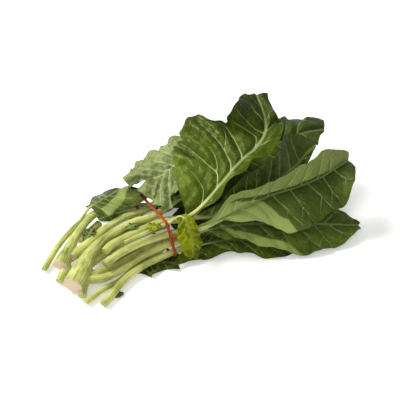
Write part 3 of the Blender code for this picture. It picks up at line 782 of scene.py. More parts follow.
# A leaf's skin: sizes of its noises as (scale, detail), and where each mask begins and ends.
NET_SCALE = 420
NET_LINE = 0.22
NET_RAISED = 0.45
SWIRL_SCALE = 120
SWIRL_REACH = 0.004
VEIN_LINE = (0.6, 0.86)
VEIN_GLOW = 0.18
VEIN_GLOW_END = 0.8
RIB_LINE = (0.8, 2.6)
RIB_LINE_SHARE = 0.8
PATCHES = (28, 3)
PATCH_LINE = (0.35, 0.7)
SPECKS = (420, 2)
SPECK_LINE = (0.3, 0.75)
SPECK_TONE = 0.22
SPECK_RAISED = 0.35
BLOTCHES = (85, 4)
BLOTCH_TONE = 0.8
MOTTLES = (230, 5)
MOTTLE_TONE = 1.1
FRESH_LIMITS = (-0.2, 1.9)
TURNED_FRESH = 0.4
TURNED_SHARE = 0.72
ROUGH_PATCHES = 0.16
LEAF_BUMP = 0.7
LEAF_BUMP_DEPTH = 0.0005
LEAF_SPECULAR = 0.3
SHEEN_TINT = (0.75, 0.80, 0.10, 1.0)


def leaf_skin_group():
    """Colour, roughness and height of a leaf's skin: veins, the net between them, patches and specks."""
    group = bpy.data.node_groups.new("leaf_skin", "ShaderNodeTree")
    for way, kind, names in (
        ("INPUT", "NodeSocketColor", ("Deep", "Fresh", "Vein", "Turned")),
        ("INPUT", "NodeSocketFloat", ("Net", "Veins", "Patches", "Raised", "Rough")),
        ("OUTPUT", "NodeSocketColor", ("Color",)),
        ("OUTPUT", "NodeSocketFloat", ("Roughness", "Height")),
    ):
        for name in names:
            group.interface.new_socket(name=name, in_out=way, socket_type=kind)
    given = group.nodes.new("NodeGroupInput").outputs
    out = group.nodes.new("NodeGroupOutput")
    place = place_in(group)

    def ranged(value, low, high, to_low=0.0, to_high=1.0):
        ends = {"Value": value, "From Min": low, "From Max": high, "To Min": to_low, "To Max": to_high}
        return add_node(group, "MapRange", ends, interpolation_type="SMOOTHSTEP").outputs["Result"]

    def maths(operation, first, second):
        return add_node(group, "Math", {0: first, 1: second}, operation=operation).outputs[0]

    def swing(value, strength):
        return maths("MULTIPLY", maths("SUBTRACT", value, 0.5), strength)

    def mixed(share, first, second):
        sides = {"Factor": share, "A": first, "B": second}
        return add_node(group, "Mix", sides, data_type="RGBA", clamp_factor=False).outputs["Result"]

    swirl = add_node(group, "TexNoise", {"Vector": place, "Scale": SWIRL_SCALE}).outputs["Color"]
    swirled = {0: swirl, 1: (SWIRL_REACH, SWIRL_REACH, SWIRL_REACH), 2: place}
    warp = add_node(group, "VectorMath", swirled, operation="MULTIPLY_ADD").outputs["Vector"]
    cells_of_net = {"Vector": warp, "Scale": NET_SCALE}
    net = add_node(group, "TexVoronoi", cells_of_net, feature="DISTANCE_TO_EDGE").outputs["Distance"]
    net_line = ranged(net, 0.0, NET_LINE, 1.0, 0.0)
    vein = attribute_of(group, "vein")
    rib_line = ranged(attribute_of(group, "from_rib"), *RIB_LINE, 1.0, 0.0)
    vein_line = maths("MAXIMUM", ranged(vein, *VEIN_LINE), maths("MULTIPLY", rib_line, RIB_LINE_SHARE))
    vein_glow = ranged(vein, 0.0, VEIN_GLOW_END)
    patches = ranged(noise_of(group, place, *PATCHES), *PATCH_LINE)
    specks = ranged(noise_of(group, place, *SPECKS), *SPECK_LINE)
    fresh_share = maths("MULTIPLY", patches, given["Patches"])
    fresh_share = maths("ADD", fresh_share, swing(specks, SPECK_TONE))
    fresh_share = maths("ADD", fresh_share, maths("MULTIPLY", vein_glow, VEIN_GLOW))
    blotches = swing(noise_of(group, place, *BLOTCHES), BLOTCH_TONE)
    blotches = maths("ADD", blotches, swing(noise_of(group, place, *MOTTLES), MOTTLE_TONE))
    # The tone attribute brings the leaf's own fresher tone together with painted light and painted shade.
    fresh_share = maths("ADD", fresh_share, maths("ADD", attribute_of(group, "tone"), blotches))
    fresh_share = maths("MINIMUM", maths("MAXIMUM", fresh_share, FRESH_LIMITS[0]), FRESH_LIMITS[1])
    ground = mixed(fresh_share, given["Deep"], given["Fresh"])
    pale_share = maths("ADD", maths("MULTIPLY", fresh_share, TURNED_FRESH), TURNED_SHARE)
    pale_share = maths("MULTIPLY", attribute_of(group, "turned"), pale_share)
    ground = mixed(pale_share, ground, given["Turned"])
    netted = mixed(maths("MULTIPLY", net_line, given["Net"]), ground, given["Vein"])
    veined = mixed(maths("MULTIPLY", vein_line, given["Veins"]), netted, given["Vein"])
    rough = maths("ADD", given["Rough"], swing(patches, ROUGH_PATCHES))
    lines = maths("MAXIMUM", maths("MULTIPLY", net_line, NET_RAISED), vein_line)
    height = maths("MULTIPLY", lines, given["Raised"])
    height = maths("ADD", height, maths("MULTIPLY", specks, SPECK_RAISED))
    feed(group, out, {"Color": veined, "Roughness": rough, "Height": height})
    return group


leaf_skin = leaf_skin_group()


def leaf_material(
    name,
    deep,
    fresh,
    vein,
    turned=(0.22, 0.28, 0.075),
    rough=0.45,
    net=0.06,
    veins=1.0,
    patches=0.5,
    raised=-1.0,
):
    """A leaf's skin: its darkest and freshest green, the colour of its veins, and how they stand out."""
    material, tree, surface = new_material(name)
    colours = {"Deep": deep, "Fresh": fresh, "Vein": vein, "Turned": turned}
    inputs = {key: (*colour, 1.0) for key, colour in colours.items()}
    inputs.update({"Net": net, "Veins": veins, "Patches": patches, "Raised": raised, "Rough": rough})
    skin = add_node(tree, "Group", inputs, node_tree=leaf_skin).outputs
    looks = {
        "Base Color": skin["Color"],
        "Roughness": skin["Roughness"],
        "Normal": bumped(tree, skin["Height"], LEAF_BUMP, LEAF_BUMP_DEPTH),
        "Specular IOR Level": LEAF_SPECULAR,
        "Specular Tint": SHEEN_TINT,
    }
    feed(tree, surface, looks)
    return material


# A stalk's skin: its pale ground, green streaks, the pith of its cut end and its scars.
STALK_COLOURS = ((0.58, 0.60, 0.17), (0.12, 0.16, 0.012), (0.60, 0.47, 0.31), (0.10, 0.09, 0.02))
STREAK_STRETCH = (1.0, 1.0, 0.03)
STREAKS = (0.9, 3)
STALK_BLOTCHES = (45, 4)
GREEN_ENDS = {"From Min": 0.80, "From Max": 1.34}
SCARS = (260, 2)
SCAR_ENDS = {"From Min": 0.70, "From Max": 0.80, "To Max": 0.7}
STALK_BUMP = 0.5
STALK_BUMP_DEPTH = 0.0006
STALK_ROUGHNESS = 0.42
STALK_SPECULAR = 0.45


def stalk_material(name, rib):
    """A stalk's skin, which takes the rib's colour where the stalk runs on under a blade."""
    material, tree, surface = new_material(name)
    pale, green, cut, scar = STALK_COLOURS
    place = place_in(tree)
    stretch = {"Scale": STREAK_STRETCH, "Vector": attribute_of(tree, "fibres", "Vector")}
    streak = noise_of(tree, add_node(tree, "Mapping", stretch).outputs["Vector"], *STREAKS)
    both = {0: streak, 1: noise_of(tree, place, *STALK_BLOTCHES)}
    both = add_node(tree, "Math", both, operation="ADD").outputs[0]
    green_share = add_node(tree, "MapRange", {"Value": both, **GREEN_ENDS}).outputs["Result"]
    scars = {"Value": noise_of(tree, place, *SCARS), **SCAR_ENDS}
    scar_share = add_node(tree, "MapRange", scars).outputs["Result"]
    colour = (*pale, 1.0)
    for share, other in (
        (green_share, green),
        (attribute_of(tree, "on_rib"), rib),
        (scar_share, scar),
        (attribute_of(tree, "cut"), cut),
    ):
        sides = {"Factor": share, "A": colour, "B": (*other, 1.0)}
        colour = add_node(tree, "Mix", sides, data_type="RGBA").outputs["Result"]
    looks = {
        "Base Color": colour,
        "Normal": bumped(tree, streak, STALK_BUMP, STALK_BUMP_DEPTH),
        "Roughness": STALK_ROUGHNESS,
        "Specular IOR Level": STALK_SPECULAR,
    }
    feed(tree, surface, looks)
    return material


UPPER_VEIN = (0.42, 0.52, 0.20)
PALE_UNDER = dict(
    deep=(0.11, 0.17, 0.045), fresh=(0.18, 0.25, 0.075), vein=UPPER_VEIN, rough=0.6, raised=1.0
)
stalk_skin = stalk_material("stalk_skin", rib=(0.34, 0.40, 0.13))
low_upper = leaf_material(
    "low_leaf_upper", (0.019, 0.032, 0.001), (0.082, 0.122, 0.001), UPPER_VEIN, veins=0.3
)
low_under = leaf_material("low_leaf_under", **PALE_UNDER)

pile_blades = np.full(MAP_SHAPE, EMPTY)
pile_stalks = {}
for name, leaf in low_leaves.items():
    lay_stalk(leaf, pile_blades)
    others = [heights for key, heights in pile_stalks.items() if name != "undermost_side_leaf"]
    pile_stalks[name], blade_heights = lay_blade(leaf, np.max([pile_blades] + others, axis=0))
    pile_blades = np.maximum(pile_blades, blade_heights)

for name, nodes_of_it in (
    ("undermost_leaf", ["undermost_leaf", "undermost_side_leaf"]),
    ("far_low_leaf", ["far_low_leaf"]),
    ("near_low_leaf", ["near_low_leaf"]),
):
    made = []
    for k, key in enumerate(nodes_of_it):
        made.append(add_blade(key + "_blade", low_leaves[key], low_upper, low_under, k + 2))
        made.append(add_leaf_tube(key + "_rib", low_leaves[key], stalk_skin))
    finish_piece(joined(name + "_piece", made), "low_leaves", name)


# The stalks of the plants and of the upper leaves
# Pale fleshy stalks grow from two crowns that were cut across, and single ones lie between them. The
# crowns hold theirs together; the tie holds the rest. Each stalk goes on as a leaf's rib beyond the tie.
TIE_X = -50.0
TIE_OVERLAP = 0.8
CROWN_VOXEL = 0.9
CROWN_SOFTNESS = 0.5
CROWN_PASSES = 3
CROWN_SAMPLES = 60
STALK_SAMPLES = 600
CUT_DEPTH = (0.3, 1.1)
CUT_EDGE = (0.84, 1.0)
CUT_REACH = -4
upper_lines = {
    "front_low": dict(
        node="front_stem",
        stalk=[
            (-160, -38, 11, 6.0), (-145, -45, 11, 5.6), (-127, -44.5, 11.5, 5.2),
            (-105, -40.5, 12.8, 5.0), (-83, -36, 14, 4.8), (-52, -36, 17, 4.6),
        ],
        rib=[
            (-18, -40, 19), (12, -47, 23), (46, -62, 26), (82, -80, 25), (118, -94, 20),
            (148, -106, 15), (174, -117, 11),
        ],
    ),
    "far": dict(
        node="far_leaf",
        stalk=[
            (-196, 10, 5.0, 3.7), (-158, 42, 10, 3.7), (-116, 61, 17, 3.6), (-84, 60.5, 19.5, 3.5),
            (-52, 53, 20, 3.4),
        ],
        rib=[(-20, 60, 24), (14, 70, 26), (50, 78, 24), (86, 82, 18), (118, 84, 12)],
    ),
    "far_side": dict(
        node="far_leaf",
        stalk=[(-130, 57, 15, 2.0), (-122, 57, 18, 2.0)],
        rib=[(-112, 56, 22), (-90, 60, 27), (-64, 69, 31)],
    ),
    "back_hidden": dict(
        node="back_stem",
        stalk=[
            (-160, 5, 14, 5.6), (-121, 19, 20, 5.0), (-100, 24, 24, 4.8), (-78, 26, 27, 4.7),
            (-50, 23, 30, 4.6),
        ],
        rib=[(-16, 32, 36), (22, 44, 42), (60, 54, 46), (100, 60, 48), (140, 58, 44)],
    ),
    "front_main": dict(
        node="front_stem",
        stalk=[
            (-181, -42, 12.4, 13.0), (-171, -34, 14, 12.6), (-158, -22, 17, 10.8),
            (-146, -13, 21, 8.8), (-132, -7, 25, 7.4), (-117, -2, 28, 6.4), (-96, 2, 32, 5.3),
            (-77, 2, 35.5, 4.9), (-50, -1, 37, 4.7),
        ],
        rib=[
            (-18, 6, 43), (22, 12, 52), (62, 14, 60), (100, 12, 68), (136, 8, 76), (170, 5, 80),
            (202, 2, 77),
        ],
    ),
    "back_crumpled": dict(
        node="back_stem",
        stalk=[
            (-179, -1, 11.0, 10.4), (-170, 7, 13, 9.6), (-158, 18, 16, 7.4), (-145, 31, 18.5, 5.6),
            (-121, 47, 23, 5.0), (-100, 51.5, 28, 4.8), (-76, 48, 32, 4.7), (-50, 43, 36, 4.6),
        ],
        rib=[(-24, 45, 49), (-8, 49, 55), (12, 51, 60), (34, 52, 63), (56, 52, 65)],
    ),
    "front_tall": dict(
        node="front_stem",
        stalk=[
            (-158, -24, 16, 6.6), (-146, -8, 17, 5.8), (-132, 3, 19, 5.2), (-112, 8, 22, 4.9),
            (-80, 10, 25.5, 4.7), (-50, 1, 26, 4.6),
        ],
        rib=[
            (-14, -22, 33), (16, -42, 42), (52, -46, 52), (94, -43, 61), (134, -36, 69),
            (168, -24, 76),
        ],
    ),
    "top": dict(
        node="top_leaf",
        stalk=[
            (-130, -24, 30, 5.0), (-119, -18.5, 31.5, 4.9), (-106, -16.5, 32.5, 4.8),
            (-90, -16, 34.5, 4.7), (-50, -16, 37, 4.6),
        ],
        rib=[
            (-25, -32, 44), (8, -35, 63), (38, -32, 80), (70, -21, 94), (100, -8, 103),
            (113, 12, 118), (120, 42, 134),
        ],
    ),
    "near": dict(
        node="near_leaf",
        stalk=[
            (-137, -37, 22.5, 5.2), (-119, -31.5, 24.8, 5.1), (-98, -29, 26.5, 4.9),
            (-78, -29, 28, 4.8), (-50, -32.5, 29.5, 4.7),
        ],
        rib=[
            (-18, -49, 36), (12, -57, 47), (48, -59, 54), (82, -59, 56), (118, -62, 57),
            (154, -62, 59), (180, -59, 63), (198, -57, 65),
        ],
    ),
    "yellow": dict(
        node="small_yellow_leaf",
        stalk=[
            (-106, -28, 37, 2.4), (-84, -27, 38.5, 2.4), (-62, -26, 39.5, 2.4),
            (-46, -26.5, 41, 2.4),
        ],
        rib=[
            (-35, -34, 49), (-33, -45, 50), (-34, -55, 42), (-34, -62, 30), (-35, -66, 18),
            (-36, -68, 11),
        ],
    ),
}
shoots = {
    "front_stem": [
        [(-165, -38, 9, 5.6), (-176, -56, 5.5, 4.6)],
        [
            (-154, -20, 13, 5.4), (-118, -12, 18, 4.7), (-88, -8, 21, 4.6), (-62, -10, 24, 4.5),
            (-38, -12, 25, 4.4),
        ],
        [
            (-158, -34, 11, 5.4), (-120, -32, 12, 4.7), (-88, -26, 14, 4.6), (-62, -24, 17, 4.5),
            (-38, -26, 19, 4.4),
        ],
    ],
    "back_stem": [
        [(-170, 0, 8, 6.0), (-189, -19, 5.5, 4.8)],
        [(-142, 26, 15, 4.4), (-124, 36, 14.0, 5.0), (-106, 45, 14.5, 5.0)],
        [
            (-165, 6, 10, 5.5), (-130, 14, 11, 4.6), (-95, 16, 14, 4.5), (-62, 16, 18, 4.4),
            (-38, 18, 20, 4.4),
        ],
    ],
}


def add_shoot(name, stations):
    """A short cut shoot through stations of (x, y, z, radius)."""
    stations = np.array(stations, float)
    length = np.linalg.norm(np.diff(stations[:, :3], axis=0), axis=1).sum()
    t = np.linspace(0, 1, max(5, int(length / FINE_STEP)))
    radii = np.interp(t, np.linspace(0, 1, len(stations)), stations[:, 3])
    return add_tube(name, stations[:, :3], radii, np.zeros(len(t)), t, stalk_skin), stations


def fused_crown(name, tubes, lines):
    """The tubes of one plant grown together: one skin, with fibres along the nearest stalk."""
    obj = joined(name, tubes)
    bpy.context.view_layer.objects.active = obj
    skin = obj.modifiers.new("Skin", "REMESH")
    skin.mode = "VOXEL"
    skin.voxel_size = CROWN_VOXEL * MM
    bpy.ops.object.modifier_apply(modifier=skin.name)
    soft = obj.modifiers.new("Soft", "SMOOTH")
    soft.factor = CROWN_SOFTNESS
    soft.iterations = CROWN_PASSES
    bpy.ops.object.modifier_apply(modifier=soft.name)
    points = get_points(obj).astype(float) / MM
    best = np.full(len(points), -EMPTY)
    fibres = np.zeros_like(points)
    cut = np.zeros(len(points))
    for stations in lines:
        stations = np.array(stations, float)
        t = np.linspace(0, 1, CROWN_SAMPLES)
        centres, ahead, left, normal = frames(stations[:, :3], t)
        radii = np.interp(t, np.linspace(0, 1, len(stations)), stations[:, 3])
        run = np.concatenate([[0], np.cumsum(np.linalg.norm(np.diff(centres, axis=0), axis=1))])
        away = points[:, None, :] - centres[None]
        distance = np.linalg.norm(away, axis=2)
        nearest = np.argmin(distance, axis=1)
        here = away[np.arange(len(points)), nearest]
        excess = distance.min(axis=1) / radii[nearest]
        closer = excess < best
        best = np.where(closer, excess, best)
        across = np.einsum("ij,ij->i", here, left[nearest])
        above = np.einsum("ij,ij->i", here, normal[nearest])
        along = run[nearest] + np.einsum("ij,ij->i", here, ahead[nearest])
        fibres[closer] = np.column_stack([across, above, along])[closer]
        face = (points - centres[0]) @ ahead[0]
        radial = np.linalg.norm(points - centres[0] - face[:, None] * ahead[0], axis=1)
        on_face = (1 - eased(face, *CUT_DEPTH)) * (1 - eased(radial / radii[0], *CUT_EDGE))
        cut = np.maximum(cut, np.where(face > CUT_REACH, on_face, 0))
    set_vectors(obj, "fibres", fibres)
    set_values(obj, "cut", cut)
    bpy.ops.object.shade_smooth()
    return obj


for key, leaf in upper_lines.items():
    pile_stalks[key] = lay_stalk(leaf, pile_blades)

for node in ("front_stem", "back_stem"):
    tubes, lines = [], []
    for key, leaf in upper_lines.items():
        if leaf["node"] == node:
            line, start = leaf_line(leaf)
            t = np.linspace(0, start, STALK_SAMPLES)
            t = t[smooth(line, t)[:, 0] < TIE_X + TIE_OVERLAP]
            t = np.linspace(0, t[-1], int(np.linalg.norm(line[-1] - line[0]) / FINE_STEP / 2) + 8)
            radii, sink = tube_radii(leaf, t)
            tubes.append(add_tube(key + "_stalk", line, radii, sink, t, stalk_skin))
            lines.append(np.column_stack([smooth(line, t[::4]), radii[::4]]))
    for k, stations in enumerate(shoots[node]):
        tube, stations = add_shoot(f"{node}_shoot_{k}", stations)
        tubes.append(tube)
        lines.append(stations)
    finish_piece(fused_crown(node + "_stalks", tubes, lines), "stalks_and_leaves", node)


# The tie
# A red paper strip with a wire along its middle is drawn round all stalks, and its two ends are twisted
# together. The twist bends down in front.
TIE_WIDTH = 4.0
TIE_THICKNESS = 1.0
TIE_CLEARANCE = 1.1
TIE_SIDES = 36
TIE_STEPS = 216
TIE_SECTION = 24
TWIST_SIDE = 15
TWIST_STATIONS = [(0, 0.6, 0.0), (1.5, -2.8, -1.0), (5.0, -5.0, -4.0), (9.0, -6.0, -9.0)]
TWIST_SAMPLES = 60
TWIST_TURNS = 7
STRAND_RADIUS = 0.75
PAPER_HALF = 0.22
WIRE_HALF = 0.34
WIRE_SHARE = 0.16
CRINKLE = 0.22
CRINKLE_RATE = 0.9
SWAY = 0.15
SWAY_RATE = 0.37
STRAY = 0.5
STRAY_RATE = 0.11
TIE_SEAM = 2e-5
PAPER_RED = (0.45, 0.080, 0.010, 1.0)
PAPER_WORN = (0.22, 0.030, 0.006, 1.0)
PAPER_SPOTS = (300, 4)
PAPER_BUMP = 0.4
PAPER_BUMP_DEPTH = 0.0003
PAPER_ROUGHNESS = 0.55
PAPER_SPECULAR = 0.25


def stalk_circle(leaf):
    """Where a stalk passes the tie: (y, z, radius), or nothing for one that starts after it."""
    rings, t = coarse_tube(leaf)
    centres = rings.mean(axis=1)
    if centres[0, 0] > TIE_X or centres[-1, 0] < TIE_X:
        return None
    after = np.argmax(centres[:, 0] > TIE_X)
    f = (TIE_X - centres[after - 1, 0]) / (centres[after, 0] - centres[after - 1, 0])
    y, z = centres[after - 1, 1:] * (1 - f) + centres[after, 1:] * f
    return y, z, np.linalg.norm(rings[after] - centres[after], axis=1).max()


def tie_loop(circles, margin, count):
    """Points (y, z) of a loop drawn tight round the circles, at even angles of its outward direction."""
    loop = []
    for angle in np.arange(count) * 2 * math.pi / count:
        way = np.array([math.cos(angle), math.sin(angle)])
        far = max(circles, key=lambda c: c[0] * way[0] + c[1] * way[1] + c[2])
        loop.append(np.array(far[:2]) + way * (far[2] + margin))
    return np.array(loop)


all_leaves = [*low_leaves.values(), *upper_lines.values()]
circles = [circle for circle in map(stalk_circle, all_leaves) if circle]
inner_coarse = tie_loop(circles, TIE_CLEARANCE, TIE_SIDES)
outer_coarse = tie_loop(circles, TIE_CLEARANCE + TIE_THICKNESS, TIE_SIDES)
tie_grid = np.array(
    [np.column_stack([np.full(TIE_SIDES, TIE_X + x * TIE_WIDTH), outer_coarse]) for x in (-0.5, 0.5)]
)
tie_heights = top_map(spread(tie_grid))

middle = tie_loop(circles, TIE_CLEARANCE + TIE_THICKNESS / 2, TIE_STEPS)
run = np.linalg.norm(np.roll(middle, -1, axis=0) - middle, axis=1)
run = np.concatenate([[0], np.cumsum(run)])
closed_middle = np.vstack([middle, middle[:1]])
even = np.linspace(0, run[-1], TIE_STEPS + 1)
path = np.column_stack([np.interp(even, run, closed_middle[:, k]) for k in (0, 1)])
ahead_yz = unit(np.roll(path[:-1], -2, axis=0) - np.roll(path[:-1], 2, axis=0))
ahead_yz = np.vstack([ahead_yz, ahead_yz[:1]])
outward = np.column_stack([ahead_yz[:, 1], -ahead_yz[:, 0]])

tie, u, v = add_grid("twist_tie_band", TIE_STEPS, TIE_SECTION)
at = (u + 1) / 2 * TIE_STEPS
section = (v + 1) * math.pi
wide = np.cos(section)
flat_half = PAPER_HALF + WIRE_HALF * np.exp(-((wide / WIRE_SHARE) ** 2))
crinkle = CRINKLE * np.sin(at * CRINKLE_RATE) * np.abs(wide) ** 2 + SWAY * np.sin(at * SWAY_RATE + 1.0)
offset = np.sin(section) * flat_half + crinkle * 0.5
index = np.arange(TIE_STEPS + 1)
centre = np.column_stack([np.interp(at, index, path[:, k]) for k in (0, 1)])
out = unit(np.column_stack([np.interp(at, index, outward[:, k]) for k in (0, 1)]))
along_x = TIE_X + wide * TIE_WIDTH / 2 + STRAY * np.sin(at * STRAY_RATE)
set_points(tie, np.column_stack([along_x, centre + out * offset[:, None]]))
close_seam(TIE_SEAM, open_ends=False)

tie_paper, paper_tree, paper_surface = new_material("tie_paper")
worn = noise_of(paper_tree, place_in(paper_tree), *PAPER_SPOTS)
paper_tones = {"Factor": worn, "A": PAPER_RED, "B": PAPER_WORN}
paper_looks = {
    "Base Color": add_node(paper_tree, "Mix", paper_tones, data_type="RGBA").outputs["Result"],
    "Normal": bumped(paper_tree, worn, PAPER_BUMP, PAPER_BUMP_DEPTH),
    "Roughness": PAPER_ROUGHNESS,
    "Specular IOR Level": PAPER_SPECULAR,
}
feed(paper_tree, paper_surface, paper_looks)
tie.data.materials.append(tie_paper)

twist_line = np.array(TWIST_STATIONS, float)
twist_line[:, 1:] += (inner_coarse[TWIST_SIDE] + outer_coarse[TWIST_SIDE]) / 2
twist_line[:, 0] += TIE_X
strands = []
strand_radii = np.full(TWIST_SAMPLES, STRAND_RADIUS)
no_sink = np.zeros(TWIST_SAMPLES)
for strand in (0, 1):
    t = np.linspace(0, 1, TWIST_SAMPLES)
    centres, ahead, left, normal = frames(twist_line, t)
    wind = t * TWIST_TURNS * math.pi + strand * math.pi
    spiral = centres + STRAND_RADIUS * (np.cos(wind)[:, None] * left + np.sin(wind)[:, None] * normal)
    strands.append(add_tube(f"twist_{strand}", spiral, strand_radii, no_sink, t, tie_paper))
finish_piece(joined("twist_tie_piece", [tie, *strands]), "tie", "twist_tie")


